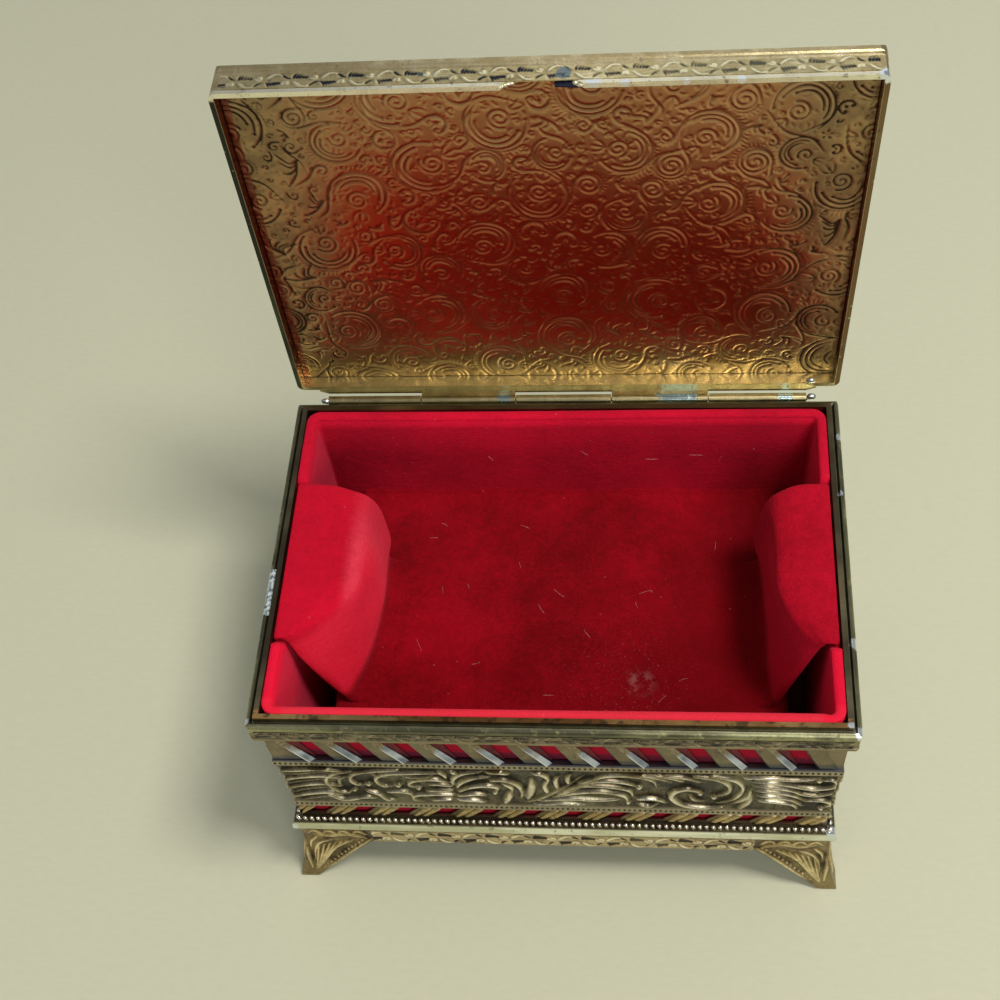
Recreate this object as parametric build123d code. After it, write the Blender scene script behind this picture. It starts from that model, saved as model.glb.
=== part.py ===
"""A footed trinket box with pierced gallery walls, velvet lining and a hinged lid, lid open."""

from build123d import *
import os
from math import cos, pi, sin, radians

# Sizes in millimetres. Heights are measured from the surface that the feet stand on.
# An offset is measured outward from the edge of the mouth, the same on all four sides.

# Mouth and rim
MOUTH_X = 108.0
MOUTH_Y = 72.0
RIM_TOP = 70.0
RIM_LIP_WIDTH = 1.0
RIM_HOLLOW_DEPTH = 1.3
RIM_CREST_DROP = 0.8
RIM_CREST_OFFSET = 1.7
RIM_NOSE_OFFSET = 2.62
RIM_NOSE_DROP = 1.5
RIM_STRIP_OFFSET = 2.3
RIM_STRIP_TOP_DROP = 2.8
RIM_SEAT_DROP = 2.4
RIM_SKIRT_INSIDE = 1.3
RIM_SKIRT_DROP = 6.4
RIM_EDGE_OFFSET = 2.5
RIM_EDGE_HEIGHT = 0.7
RIM_CORNER_RADIUS = 1.2

# Pierced walls
SILL_HEIGHT = 52.2
BAR_OFFSET = 0.9
RIDGE_OFFSET = 1.25
RIDGE_HEIGHT = 2.2
RIDGE_STEP = 0.4
BAND_TOP_OFFSET = 0.95
BAND_HOLLOW_OFFSET = 0.4
BAND_BOTTOM_OFFSET = 0.65
LOWER_RIDGE_OFFSET = 0.95
LOWER_RIDGE_HEIGHT = 2.1
LOWER_BAR_OFFSET = 0.7
UPPER_HEAD_HEIGHT = 2.4
UPPER_PITCH = 9.3
UPPER_CLEAR_WIDTH = 3.5
UPPER_FLANK_WIDTH = 1.6
UPPER_EDGE_BEVEL = 0.55
UPPER_LEAN = 22.0
UPPER_SHIFT = -0.8
UPPER_COUNT_LONG = 11
UPPER_COUNT_SHORT = 7
LOWER_SILL_HEIGHT = 1.0
LOWER_OPENING_HEIGHT = 4.0
LOWER_HEAD_HEIGHT = 0.5
LOWER_PITCH = 8.85
LOWER_CLEAR_WIDTH = 4.1
LOWER_LEAN = 40.0
LOWER_SHIFT = -1.2
LOWER_COUNT_LONG = 12
LOWER_COUNT_SHORT = 8

# Base rail and bottom
RAIL_TOP = 24.4
RAIL_HEIGHT = 4.1
RAIL_BED_OFFSET = 2.3
RAIL_NOSE_OFFSET = 2.9
RAIL_NOSE_DROP = 1.8
RAIL_UNDER_OFFSET = 2.0
RAIL_LEDGE_WIDTH = 3.0
RAIL_LEDGE_THICKNESS = 0.8
BOTTOM_THICKNESS = 0.8
BOTTOM_CLEARANCE = 0.1

# Aprons and bracket feet
APRON_HEIGHT = 5.6
APRON_OFFSET = 2.0
APRON_FLARE = 0.2
APRON_THICKNESS = 1.0
FOOT_REACH = 15.5
FOOT_FLARE = 5.0
FOOT_THICKNESS = 1.4
FOOT_WAIST_HEIGHT = 9.0
FOOT_WAIST_OFFSET = 2.7
FOOT_EDGE_HEIGHT = 0.9
FOOT_PAD = 3.2
FOOT_CURVE_REACH = 7.4
FOOT_CURVE_HEIGHT = 7.2

# Velvet lining
LINING_GAP = 0.35
LINING_THICKNESS = 2.0
LINING_TOP_DROP = 0.6
LINING_ROLL = 0.9
LINING_CORNER = 2.6
LINING_INNER_CORNER = 1.0
SOFT_GAP = 0.3

# Raised velvet floor with two turned-up end tabs
CARD_THICKNESS = 1.2
CARD_TOP = 40.2
CARD_END_GAP = 5.35
FLOOR_THICKNESS = 2.5
FLOOR_END_GAP = 4.85
FLOOR_EDGE_ROUND = 0.8
TAB_FRONT = -19.3
TAB_REAR = 17.1
TAB_THICKNESS = 1.9
TAB_TOP_THICKNESS = 1.1
TAB_SEAT_GAP = 0.1

# Distances of each tab's face from the lining at its foot, belly, shoulder, turn and crown
LEFT_TAB_REAR_SHAPE = (12.4, 14.0, 13.4, 9.8, 4.6)
LEFT_TAB_FRONT_SHAPE = (6.6, 5.4, 3.4, 2.0, 0.9)
RIGHT_TAB_REAR_SHAPE = (9.0, 11.0, 10.6, 7.6, 3.6)
RIGHT_TAB_FRONT_SHAPE = (5.6, 4.9, 3.4, 2.0, 0.9)

# Lid
LID_OVERHANG = 3.0
LID_CORNER_RADIUS = 1.5
LID_GAP = 0.1
LID_SKIRT_HEIGHT = 7.9
LID_WALL = 1.0
LID_EDGE_HEIGHT = 0.9
LID_STRIP_DEPTH = 0.25
LID_STRIP_TOP = 5.0
LID_SHOULDER = 0.6
LINER_DEPTH = 3.0
LINER_THICKNESS = 0.6
LINER_LEDGE = 0.8
LINER_BORDER = 2.0
LINER_STEP = 0.35
TOP_SEAT_WIDTH = 1.2
TOP_SEAT_DEPTH = 1.0
TOP_RAIL_WIDTH = 1.4
TOP_THICKNESS = 0.8
TOP_BORDER = 4.0
TOP_RISE = 0.9
SHEET_CLEARANCE = 0.1
NOTCH_WIDTH = 14.2
NOTCH_FLOOR_WIDTH = 5.6
NOTCH_DEPTH = 3.1

# Hinge
OPEN_ANGLE = 90.0
HINGE_BEHIND_LID = 1.5
HINGE_BELOW_LID = 1.9
HINGE_LENGTH = 100.6
KNUCKLES = 5
KNUCKLE_GAP = 0.2
KNUCKLE_RADIUS = 1.1
PIN_RADIUS = 0.45
PIN_CLEARANCE = 0.05
PIN_OVERHANG = 0.35
LEAF_THICKNESS = 0.5
LEAF_HEIGHT = 5.9
LEAF_EAR = 2.1
LEAF_RELIEF = 0.15
BODY_LEAF_THICKNESS = 0.6
BODY_LEAF_BOTTOM_DROP = 5.4

# Places that follow from the sizes
HALF_X = MOUTH_X / 2
HALF_Y = MOUTH_Y / 2
REACH = 9.0
RIM_SEAT = RIM_TOP - RIM_SEAT_DROP
UPPER_OPENING_TOP = RIM_SEAT - UPPER_HEAD_HEIGHT
RIDGE_BOTTOM = SILL_HEIGHT - RIDGE_HEIGHT
BAND_TOP = RIDGE_BOTTOM - RIDGE_STEP
LOWER_SILL = RAIL_TOP + LOWER_SILL_HEIGHT
LOWER_OPENING_TOP = LOWER_SILL + LOWER_OPENING_HEIGHT
LOWER_RIDGE_BOTTOM = LOWER_OPENING_TOP + LOWER_HEAD_HEIGHT
LOWER_RIDGE_TOP = LOWER_RIDGE_BOTTOM + LOWER_RIDGE_HEIGHT
BAND_BOTTOM = LOWER_RIDGE_TOP + RIDGE_STEP
RAIL_BOTTOM = RAIL_TOP - RAIL_HEIGHT
RAIL_NOSE_HEIGHT = RAIL_TOP - RAIL_NOSE_DROP
APRON_BOTTOM = RAIL_BOTTOM - APRON_HEIGHT
TAB_WALL = HALF_X - LINING_GAP - LINING_THICKNESS - SOFT_GAP
LID_OFFSET = LID_OVERHANG
LID_X = MOUTH_X + 2 * LID_OVERHANG
LID_Y = MOUTH_Y + 2 * LID_OVERHANG
LID_BOTTOM = RIM_TOP - RIM_CREST_DROP + LID_GAP
LID_TOP = LID_BOTTOM + LID_SKIRT_HEIGHT
LID_CROWN = LID_TOP - TOP_SEAT_DEPTH + TOP_THICKNESS + TOP_RISE
LID_REAR = LID_Y / 2
HINGE_Y = LID_REAR + HINGE_BEHIND_LID
HINGE_Z = LID_BOTTOM - HINGE_BELOW_LID
FRONT_TIP = HALF_Y + FOOT_FLARE
REAR_TIP = HINGE_Y + LID_CROWN - HINGE_Z
SETBACK = (REAR_TIP - FRONT_TIP) / 2

SIDES = {
    "front": ((0.0, -1.0), HALF_X, HALF_Y),
    "rear": ((0.0, 1.0), HALF_X, HALF_Y),
    "left": ((-1.0, 0.0), HALF_Y, HALF_X),
    "right": ((1.0, 0.0), HALF_Y, HALF_X),
}


def side_plane(side):
    """Plane of a section on one side: its x is the outward offset, its y is the height."""
    (nx, ny), _, out = SIDES[side]
    return Plane(origin=(nx * out, ny * out, 0), x_dir=(nx, ny, 0), z_dir=(ny, -nx, 0))


def face_plane(side):
    """Plane that faces outward at the mouth's edge: its x runs along the side, its y up."""
    (nx, ny), _, out = SIDES[side]
    return Plane(origin=(nx * out, ny * out, 0), x_dir=(-ny, nx, 0), z_dir=(nx, ny, 0))


def section(side, steps):
    """Closed section from steps: a point draws a line, a pair of points draws an arc."""
    start = steps[0]
    here = start
    edges = []
    for step in list(steps[1:]) + [start]:
        if isinstance(step[0], tuple):
            edges.append(ThreePointArc(here, step[0], step[1]))
            here = step[1]
        else:
            edges.append(Line(here, step))
            here = step
    return side_plane(side) * make_face(Curve() + edges)


def mitre(side):
    """Wedge of plan that one side of a frame fills between its two mitred corners."""
    (nx, ny), half, out = SIDES[side]
    inset = 12.0
    along = (-ny, nx)
    corners = []
    for run, rise in (
        (-half - REACH, REACH),
        (half + REACH, REACH),
        (half - inset, -inset),
        (-half + inset, -inset),
    ):
        corners.append(
            (
                nx * (out + rise) + along[0] * run,
                ny * (out + rise) + along[1] * run,
            )
        )
    return extrude(make_face(Polyline(*corners, close=True)), amount=LID_TOP + 20)


def moulding(side, steps):
    """Straight length of a section with both ends mitred."""
    half = SIDES[side][1]
    run = extrude(section(side, steps), amount=half + REACH, both=True)
    return run & mitre(side)


def frame_of(steps):
    """Four mitred lengths of one section joined as a frame."""
    parts = [moulding(side, steps) for side in SIDES]
    return parts[0].fuse(*parts[1:]).clean()


def rounded_block(size_x, size_y, radius, low, high):
    """Upright block with rounded corners in plan."""
    return Pos(0, 0, low) * extrude(RectangleRounded(size_x, size_y, radius), amount=high - low)


def rounded_sheet(size_x, size_y, radius, low, thickness):
    """Flat sheet with rounded corners."""
    return rounded_block(size_x, size_y, radius, low, low + thickness)


def rim_section():
    """Upright lip, hollow, round nose, engraved strip and lower edge."""
    return [
        (0, RIM_TOP),
        (0, RIM_SEAT),
        (RIM_SKIRT_INSIDE, RIM_SEAT),
        (RIM_SKIRT_INSIDE, RIM_TOP - RIM_SKIRT_DROP),
        (RIM_EDGE_OFFSET, RIM_TOP - RIM_SKIRT_DROP),
        (RIM_EDGE_OFFSET, RIM_TOP - RIM_SKIRT_DROP + RIM_EDGE_HEIGHT),
        (RIM_STRIP_OFFSET, RIM_TOP - RIM_SKIRT_DROP + RIM_EDGE_HEIGHT + 0.2),
        (RIM_STRIP_OFFSET, RIM_TOP - RIM_STRIP_TOP_DROP),
        (
            (RIM_NOSE_OFFSET, RIM_TOP - RIM_NOSE_DROP),
            (RIM_CREST_OFFSET, RIM_TOP - RIM_CREST_DROP),
        ),
        (RIM_LIP_WIDTH + 0.3, RIM_TOP - RIM_HOLLOW_DEPTH),
        (RIM_LIP_WIDTH, RIM_TOP - RIM_HOLLOW_DEPTH),
        (RIM_LIP_WIDTH, RIM_TOP),
    ]


def make_rim():
    """Rim frame round the mouth, corners eased."""
    outline = rounded_block(
        MOUTH_X + 2 * RIM_NOSE_OFFSET,
        MOUTH_Y + 2 * RIM_NOSE_OFFSET,
        RIM_CORNER_RADIUS,
        RIM_TOP - RIM_SKIRT_DROP - 1,
        RIM_TOP + 1,
    )
    return frame_of(rim_section()) & outline


def wall_section():
    """Bars, dotted ridge, hollow band, lower ridge and lower bars, seen from the end."""
    return [
        (0, RIM_SEAT),
        (0, RAIL_TOP),
        (LOWER_BAR_OFFSET, RAIL_TOP),
        (LOWER_BAR_OFFSET, LOWER_RIDGE_BOTTOM - 0.2),
        (LOWER_RIDGE_OFFSET, LOWER_RIDGE_BOTTOM),
        (LOWER_RIDGE_OFFSET, LOWER_RIDGE_TOP),
        (BAND_BOTTOM_OFFSET, BAND_BOTTOM),
        (
            (BAND_HOLLOW_OFFSET, (BAND_TOP + BAND_BOTTOM) / 2),
            (BAND_TOP_OFFSET, BAND_TOP),
        ),
        (RIDGE_OFFSET, RIDGE_BOTTOM),
        (RIDGE_OFFSET, SILL_HEIGHT - 0.3),
        (BAR_OFFSET + 0.15, SILL_HEIGHT),
        (BAR_OFFSET, SILL_HEIGHT),
        (BAR_OFFSET, RIM_SEAT),
    ]


def slot(side, centre, plan, low, high, shift_per_height):
    """Slanted opening: a plan outline carried down a leaning line from high to low."""
    face = face_plane(side)
    along = face.x_dir
    out = face.z_dir
    middle = (low + high) / 2
    origin = face.origin + Vector(0, 0, high)
    corners = []
    for run, offset in plan:
        at = centre + run + shift_per_height * (high - middle)
        corners.append(origin + along * at + out * offset)
    outline = Face(Wire([Edge.make_line(a, b) for a, b in zip(corners, corners[1:] + corners[:1])]))
    travel = along * (-shift_per_height * (high - low)) + Vector(0, 0, low - high)
    return extrude(outline, amount=travel.length, dir=travel.normalized())


def upper_plan():
    """Plan of an upper opening: a wide flank on one bar and a small bevel on the next."""
    half = UPPER_CLEAR_WIDTH / 2
    return [
        (-half - UPPER_FLANK_WIDTH, BAR_OFFSET),
        (-half - UPPER_FLANK_WIDTH, BAR_OFFSET + 1.0),
        (half + UPPER_EDGE_BEVEL, BAR_OFFSET + 1.0),
        (half + UPPER_EDGE_BEVEL, BAR_OFFSET),
        (half, BAR_OFFSET - UPPER_EDGE_BEVEL),
        (half, -1.0),
        (-half, -1.0),
        (-half, 0.0),
    ]


def lower_plan():
    """Plan of a lower opening: a small bevel on each bar."""
    half = LOWER_CLEAR_WIDTH / 2
    bevel = LOWER_BAR_OFFSET / 2
    return [
        (-half - bevel, LOWER_BAR_OFFSET + 1.0),
        (half + bevel, LOWER_BAR_OFFSET + 1.0),
        (half + bevel, LOWER_BAR_OFFSET),
        (half, LOWER_BAR_OFFSET - bevel),
        (half, -1.0),
        (-half, -1.0),
        (-half, LOWER_BAR_OFFSET - bevel),
        (-half - bevel, LOWER_BAR_OFFSET),
    ]


def make_wall(side):
    """Pierced wall with slanted bars above and below its hollow band."""
    long_side = SIDES[side][1] == HALF_X
    wall = moulding(side, wall_section())
    cuts = []
    count = UPPER_COUNT_LONG if long_side else UPPER_COUNT_SHORT
    lean = sin(radians(UPPER_LEAN)) / cos(radians(UPPER_LEAN))
    for k in range(count):
        centre = (k - (count - 1) / 2) * UPPER_PITCH + UPPER_SHIFT
        cuts.append(slot(side, centre, upper_plan(), SILL_HEIGHT, UPPER_OPENING_TOP, -lean))
    count = LOWER_COUNT_LONG if long_side else LOWER_COUNT_SHORT
    lean = sin(radians(LOWER_LEAN)) / cos(radians(LOWER_LEAN))
    for k in range(count):
        centre = (k - (count - 1) / 2) * LOWER_PITCH + LOWER_SHIFT
        cuts.append(slot(side, centre, lower_plan(), LOWER_SILL, LOWER_OPENING_TOP, lean))
    return wall.cut(*cuts)


def make_rail():
    """Base frame: pearl bed, half-round nose and an inner ledge for the bottom."""
    return frame_of(
        [
            (0, RAIL_TOP),
            (0, RAIL_BOTTOM + RAIL_LEDGE_THICKNESS),
            (-RAIL_LEDGE_WIDTH, RAIL_BOTTOM + RAIL_LEDGE_THICKNESS),
            (-RAIL_LEDGE_WIDTH, RAIL_BOTTOM),
            (RAIL_UNDER_OFFSET, RAIL_BOTTOM),
            (
                (RAIL_NOSE_OFFSET, RAIL_NOSE_HEIGHT),
                (RAIL_BED_OFFSET, RAIL_TOP),
            ),
        ]
    )


def make_bottom():
    """Sheet that lies on the rail's ledge."""
    return Pos(0, 0, RAIL_BOTTOM + RAIL_LEDGE_THICKNESS) * Box(
        MOUTH_X - 2 * BOTTOM_CLEARANCE,
        MOUTH_Y - 2 * BOTTOM_CLEARANCE,
        BOTTOM_THICKNESS,
        align=(Align.CENTER, Align.CENTER, Align.MIN),
    )


def foot_inner_end(side):
    """Distance from the middle of a side to the inner end of its feet."""
    return SIDES[side][1] + APRON_OFFSET - FOOT_REACH


def make_apron(side):
    """Low strip under the rail between two feet."""
    steps = [
        (APRON_OFFSET - APRON_THICKNESS, RAIL_BOTTOM),
        (APRON_OFFSET + APRON_FLARE - APRON_THICKNESS, APRON_BOTTOM),
        (APRON_OFFSET + APRON_FLARE, APRON_BOTTOM),
        (APRON_OFFSET, RAIL_BOTTOM),
    ]
    return extrude(section(side, steps), amount=foot_inner_end(side), both=True)


def foot_wing(side, end):
    """One flared wing of a foot, mitred at the corner and cut to its curved edge."""
    steps = [
        (APRON_OFFSET - FOOT_THICKNESS, RAIL_BOTTOM),
        (
            (FOOT_WAIST_OFFSET - FOOT_THICKNESS, FOOT_WAIST_HEIGHT),
            (FOOT_FLARE - FOOT_THICKNESS - 0.3, 0),
        ),
        (FOOT_FLARE, 0),
        (FOOT_FLARE, FOOT_EDGE_HEIGHT),
        (
            (FOOT_WAIST_OFFSET, FOOT_WAIST_HEIGHT),
            (APRON_OFFSET, RAIL_BOTTOM),
        ),
    ]
    inner = foot_inner_end(side)
    corner = SIDES[side][1] + REACH
    pad = SIDES[side][1] + FOOT_FLARE - FOOT_PAD
    bow = inner + FOOT_CURVE_REACH
    outline = make_face(
        Curve()
        + [
            Line((end * inner, RAIL_BOTTOM), (end * inner, APRON_BOTTOM)),
            ThreePointArc(
                (end * inner, APRON_BOTTOM),
                (end * bow, FOOT_CURVE_HEIGHT),
                (end * pad, 0),
            ),
            Line((end * pad, 0), (end * corner, 0)),
            Line((end * corner, 0), (end * corner, RAIL_BOTTOM)),
            Line((end * corner, RAIL_BOTTOM), (end * inner, RAIL_BOTTOM)),
        ]
    )
    cutter = extrude(face_plane(side) * outline, amount=REACH, both=True)
    return moulding(side, steps) & cutter


def make_foot(front_or_rear, left_or_right):
    """Corner foot of two wings."""
    run = {"front": face_plane("front"), "rear": face_plane("rear")}[front_or_rear]
    want_x = 1 if left_or_right == "right" else -1
    end_a = 1 if run.x_dir.X * want_x > 0 else -1
    side_run = face_plane(left_or_right)
    want_y = 1 if front_or_rear == "rear" else -1
    end_b = 1 if side_run.x_dir.Y * want_y > 0 else -1
    return foot_wing(front_or_rear, end_a).fuse(foot_wing(left_or_right, end_b)).clean()


def make_lining():
    """Velvet-covered band with a rolled top edge, let down where the floor's end tabs hook over it."""
    low = RAIL_BOTTOM + RAIL_LEDGE_THICKNESS + BOTTOM_THICKNESS + SOFT_GAP
    high = RIM_TOP - LINING_TOP_DROP
    outer = rounded_block(
        MOUTH_X - 2 * LINING_GAP, MOUTH_Y - 2 * LINING_GAP, LINING_CORNER, low, high
    )
    inset = 2 * (LINING_GAP + LINING_THICKNESS)
    inner = rounded_block(MOUTH_X - inset, MOUTH_Y - inset, LINING_INNER_CORNER, low - 1, high + 1)
    band = outer - inner
    top = band.faces().sort_by(Axis.Z)[-1]
    band = fillet(top.edges(), LINING_ROLL)
    seat = high - 0.2 - TAB_TOP_THICKNESS - TAB_SEAT_GAP
    for end in (-1, 1):
        inner_end, outer_end = sorted((end * (HALF_X - 2 * LINING_THICKNESS), end * HALF_X))
        band -= along_x(
            inner_end, outer_end, TAB_FRONT - SOFT_GAP, TAB_REAR + SOFT_GAP, seat, high + 1
        )
    return band


def make_riser():
    """Folded card that carries the raised floor."""
    low = RAIL_BOTTOM + RAIL_LEDGE_THICKNESS + BOTTOM_THICKNESS
    depth = MOUTH_Y - 2 * (LINING_GAP + LINING_THICKNESS + SOFT_GAP)
    half = TAB_WALL - CARD_END_GAP
    under = CARD_TOP - CARD_THICKNESS
    outline = Polyline(
        (-half, low),
        (-half, CARD_TOP),
        (half, CARD_TOP),
        (half, low),
        (half - CARD_THICKNESS, low),
        (half - CARD_THICKNESS, under),
        (-half + CARD_THICKNESS, under),
        (-half + CARD_THICKNESS, low),
        close=True,
    )
    return extrude(Plane.XZ * make_face(outline), amount=depth / 2, both=True)


def tab_section(end, y, shape):
    """Section across an end tab: up from the floor, over, and down to the lining."""
    wall = TAB_WALL
    floor = CARD_TOP + SOFT_GAP + FLOOR_THICKNESS / 2
    hook = HALF_X - LINING_GAP
    top = RIM_TOP - LINING_TOP_DROP
    rise = top - floor
    face, belly, shoulder, turn, crown = [wall - distance for distance in shape]
    thin = TAB_THICKNESS
    points = [
        (face, floor),
        (belly, floor + rise * 0.38),
        (shoulder, floor + rise * 0.70),
        (turn, floor + rise * 0.93),
        (crown, top - 0.2),
        (hook, top - 0.1),
        (hook, top - 0.1 - TAB_TOP_THICKNESS),
        (crown + thin * 0.10, top - 0.2 - TAB_TOP_THICKNESS),
        (turn + thin * 0.62, floor + rise * 0.93 - thin * 0.62),
        (shoulder + thin * 0.85, floor + rise * 0.70 - thin * 0.2),
        (belly + thin * 0.85, floor + rise * 0.38),
        (face + thin * 0.85, floor),
    ]
    p = [(end * a, b) for a, b in points]
    edges = [
        ThreePointArc(p[0], p[1], p[2]),
        ThreePointArc(p[2], p[3], p[4]),
        Line(p[4], p[5]),
        Line(p[5], p[6]),
        Line(p[6], p[7]),
        ThreePointArc(p[7], p[8], p[9]),
        ThreePointArc(p[9], p[10], p[11]),
        Line(p[11], p[0]),
    ]
    plane = Plane(origin=(0, y, 0), x_dir=(1, 0, 0), z_dir=(0, -1, 0))
    return plane * make_face(Curve() + edges)


def make_floor():
    """Velvet floor pad whose two ends turn up against the side walls."""
    depth = MOUTH_Y - 2 * (LINING_GAP + LINING_THICKNESS + SOFT_GAP)
    pad = Pos(0, 0, CARD_TOP + SOFT_GAP) * Box(
        2 * (TAB_WALL - FLOOR_END_GAP), depth, FLOOR_THICKNESS, align=(Align.CENTER, Align.CENTER, Align.MIN)
    )
    pad = fillet(pad.faces().sort_by(Axis.Z)[-1].edges(), FLOOR_EDGE_ROUND)
    left = loft(
        [
            tab_section(-1, TAB_FRONT, LEFT_TAB_FRONT_SHAPE),
            tab_section(-1, TAB_REAR, LEFT_TAB_REAR_SHAPE),
        ],
        ruled=True,
    )
    right = loft(
        [
            tab_section(1, TAB_FRONT, RIGHT_TAB_FRONT_SHAPE),
            tab_section(1, TAB_REAR, RIGHT_TAB_REAR_SHAPE),
        ],
        ruled=True,
    )
    return pad.fuse(left, right).clean()


def lid_section():
    """Lid border: edge bead, engraved strip, two lines, shoulder and the seats inside."""
    out = LID_OFFSET
    inside = out - LID_WALL
    strip = out - LID_STRIP_DEPTH
    low = LID_BOTTOM
    edge = low + LID_EDGE_HEIGHT
    strip_top = low + LID_STRIP_TOP
    ledge_low = low + LINER_DEPTH + LINER_THICKNESS
    ledge_high = ledge_low + LINER_LEDGE
    seat_out = out - TOP_RAIL_WIDTH
    seat_in = seat_out - TOP_SEAT_WIDTH
    seat = LID_TOP - TOP_SEAT_DEPTH
    under = seat - LINER_LEDGE
    return [
        (inside, low),
        (out, low),
        (out, edge),
        (strip, edge + 0.25),
        (strip, strip_top),
        (out, strip_top + 0.25),
        (out, strip_top + 0.75),
        (strip, strip_top + 1.0),
        (out, strip_top + 1.35),
        (out, LID_TOP - LID_SHOULDER),
        (out - LID_SHOULDER, LID_TOP),
        (seat_out, LID_TOP),
        (seat_out, seat),
        (seat_in, seat),
        (seat_in, under),
        (inside, under),
        (inside, ledge_high),
        (inside - LINER_LEDGE, ledge_high),
        (inside - LINER_LEDGE, ledge_low),
        (inside, ledge_low),
    ]


def make_lid_frame():
    """Lid border with rounded corners and a thumb notch, in the closed place."""
    border = frame_of(lid_section())
    border = border & rounded_block(
        LID_X, LID_Y, LID_CORNER_RADIUS, LID_BOTTOM - 1, LID_TOP + 1
    )
    half = NOTCH_WIDTH / 2
    floor = NOTCH_FLOOR_WIDTH / 2
    notch = make_face(
        Curve()
        + [
            Line((-half - 0.6, -1), (half + 0.6, -1)),
            Line((half + 0.6, -1), (half, 0)),
            ThreePointArc((half, 0), ((half + floor) / 2 - 0.3, NOTCH_DEPTH * 0.6), (floor, NOTCH_DEPTH)),
            Line((floor, NOTCH_DEPTH), (-floor, NOTCH_DEPTH)),
            ThreePointArc((-floor, NOTCH_DEPTH), (-(half + floor) / 2 + 0.3, NOTCH_DEPTH * 0.6), (-half, 0)),
            Line((-half, 0), (-half - 0.6, -1)),
        ]
    )
    plane = Plane(
        origin=(0, -LID_REAR + LID_WALL * 0.5, LID_BOTTOM), x_dir=(1, 0, 0), z_dir=(0, -1, 0)
    )
    return border - extrude(plane * notch, amount=LID_WALL, both=True)


def stepped_sheet(size_x, size_y, low, thickness, border, step):
    """Sheet with a plain border and a field pressed up by a step with sloping sides."""
    base = rounded_sheet(size_x, size_y, 0.6, low, thickness)
    inner_x = size_x - 2 * border
    inner_y = size_y - 2 * border
    sizes = [(inner_x, inner_y, 0.0), (inner_x - 4 * step, inner_y - 4 * step, step)]
    bump = loft(
        [Pos(0, 0, low + thickness + h) * Rectangle(a, b) for a, b, h in sizes], ruled=True
    )
    dent = loft([Pos(0, 0, low + h) * Rectangle(a, b) for a, b, h in sizes], ruled=True)
    return (base + bump) - dent


def make_liner():
    """Embossed sheet that closes the underside of the lid, in the closed place."""
    clear = 2 * (LID_WALL + SHEET_CLEARANCE)
    return stepped_sheet(
        LID_X - clear,
        LID_Y - clear,
        LID_BOTTOM + LINER_DEPTH,
        LINER_THICKNESS,
        LINER_BORDER,
        LINER_STEP,
    )


def make_lid_top():
    """Embossed sheet on top of the lid, in the closed place."""
    clear = 2 * (TOP_RAIL_WIDTH + SHEET_CLEARANCE)
    return stepped_sheet(
        LID_X - clear,
        LID_Y - clear,
        LID_TOP - TOP_SEAT_DEPTH,
        TOP_THICKNESS,
        TOP_BORDER,
        TOP_RISE,
    )


def knuckle_span(index):
    """Left and right end of one knuckle along the hinge."""
    pitch = (HINGE_LENGTH + KNUCKLE_GAP) / KNUCKLES
    left = -HINGE_LENGTH / 2 + index * pitch
    return left, left + pitch - KNUCKLE_GAP


def along_x(left, right, y_low, y_high, z_low, z_high):
    """Block from its six limits."""
    return Pos((left + right) / 2, (y_low + y_high) / 2, (z_low + z_high) / 2) * Box(
        right - left, y_high - y_low, z_high - z_low
    )


def hinge_rod(left, right, radius):
    """Cylinder on the hinge line."""
    return Pos((left + right) / 2, HINGE_Y, HINGE_Z) * Rot(0, 90, 0) * Cylinder(radius, right - left)


def make_body_leaf():
    """Leaf soldered in the rim's rear strip, with the odd knuckles."""
    face = HALF_Y + RIM_STRIP_OFFSET
    tab_low = HINGE_Z - KNUCKLE_RADIUS
    tab_high = tab_low + LEAF_THICKNESS
    leaf = along_x(
        -HINGE_LENGTH / 2,
        HINGE_LENGTH / 2,
        face,
        face + BODY_LEAF_THICKNESS,
        RIM_TOP - BODY_LEAF_BOTTOM_DROP,
        tab_high,
    )
    for index in range(0, KNUCKLES, 2):
        left, right = knuckle_span(index)
        leaf += along_x(left, right, face, HINGE_Y, tab_low, tab_high)
        leaf += hinge_rod(left, right, KNUCKLE_RADIUS)
    return leaf - hinge_rod(-HINGE_LENGTH, HINGE_LENGTH, PIN_RADIUS + PIN_CLEARANCE)


def make_lid_leaf():
    """Leaf soldered on the lid's rear skirt, with the even knuckles, in the closed place."""
    relief = HINGE_Z + KNUCKLE_RADIUS + LEAF_RELIEF
    half = HINGE_LENGTH / 2
    plate = make_face(
        Polyline(
            (-half, relief),
            (half, relief),
            (half + LEAF_EAR, LID_BOTTOM),
            (half + LEAF_EAR, LID_BOTTOM + LEAF_HEIGHT),
            (-half - LEAF_EAR, LID_BOTTOM + LEAF_HEIGHT),
            (-half - LEAF_EAR, LID_BOTTOM),
            close=True,
        )
    )
    plane = Plane(origin=(0, LID_REAR, 0), x_dir=(1, 0, 0), z_dir=(0, -1, 0))
    leaf = extrude(plane * plate, amount=-LEAF_THICKNESS)
    for index in range(1, KNUCKLES, 2):
        left, right = knuckle_span(index)
        leaf += along_x(left, right, LID_REAR, LID_REAR + LEAF_THICKNESS, HINGE_Z, relief)
        leaf += along_x(
            left, right, LID_REAR, LID_REAR + 0.9, HINGE_Z, HINGE_Z + KNUCKLE_RADIUS * 0.73
        )
        leaf += hinge_rod(left, right, KNUCKLE_RADIUS)
    return leaf - hinge_rod(-HINGE_LENGTH, HINGE_LENGTH, PIN_RADIUS + PIN_CLEARANCE)


def opened(shape):
    """Turn a piece of the lid from its closed place to the open pose."""
    return Pos(0, HINGE_Y, HINGE_Z) * Rot(-OPEN_ANGLE, 0, 0) * Pos(0, -HINGE_Y, -HINGE_Z) * shape


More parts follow.
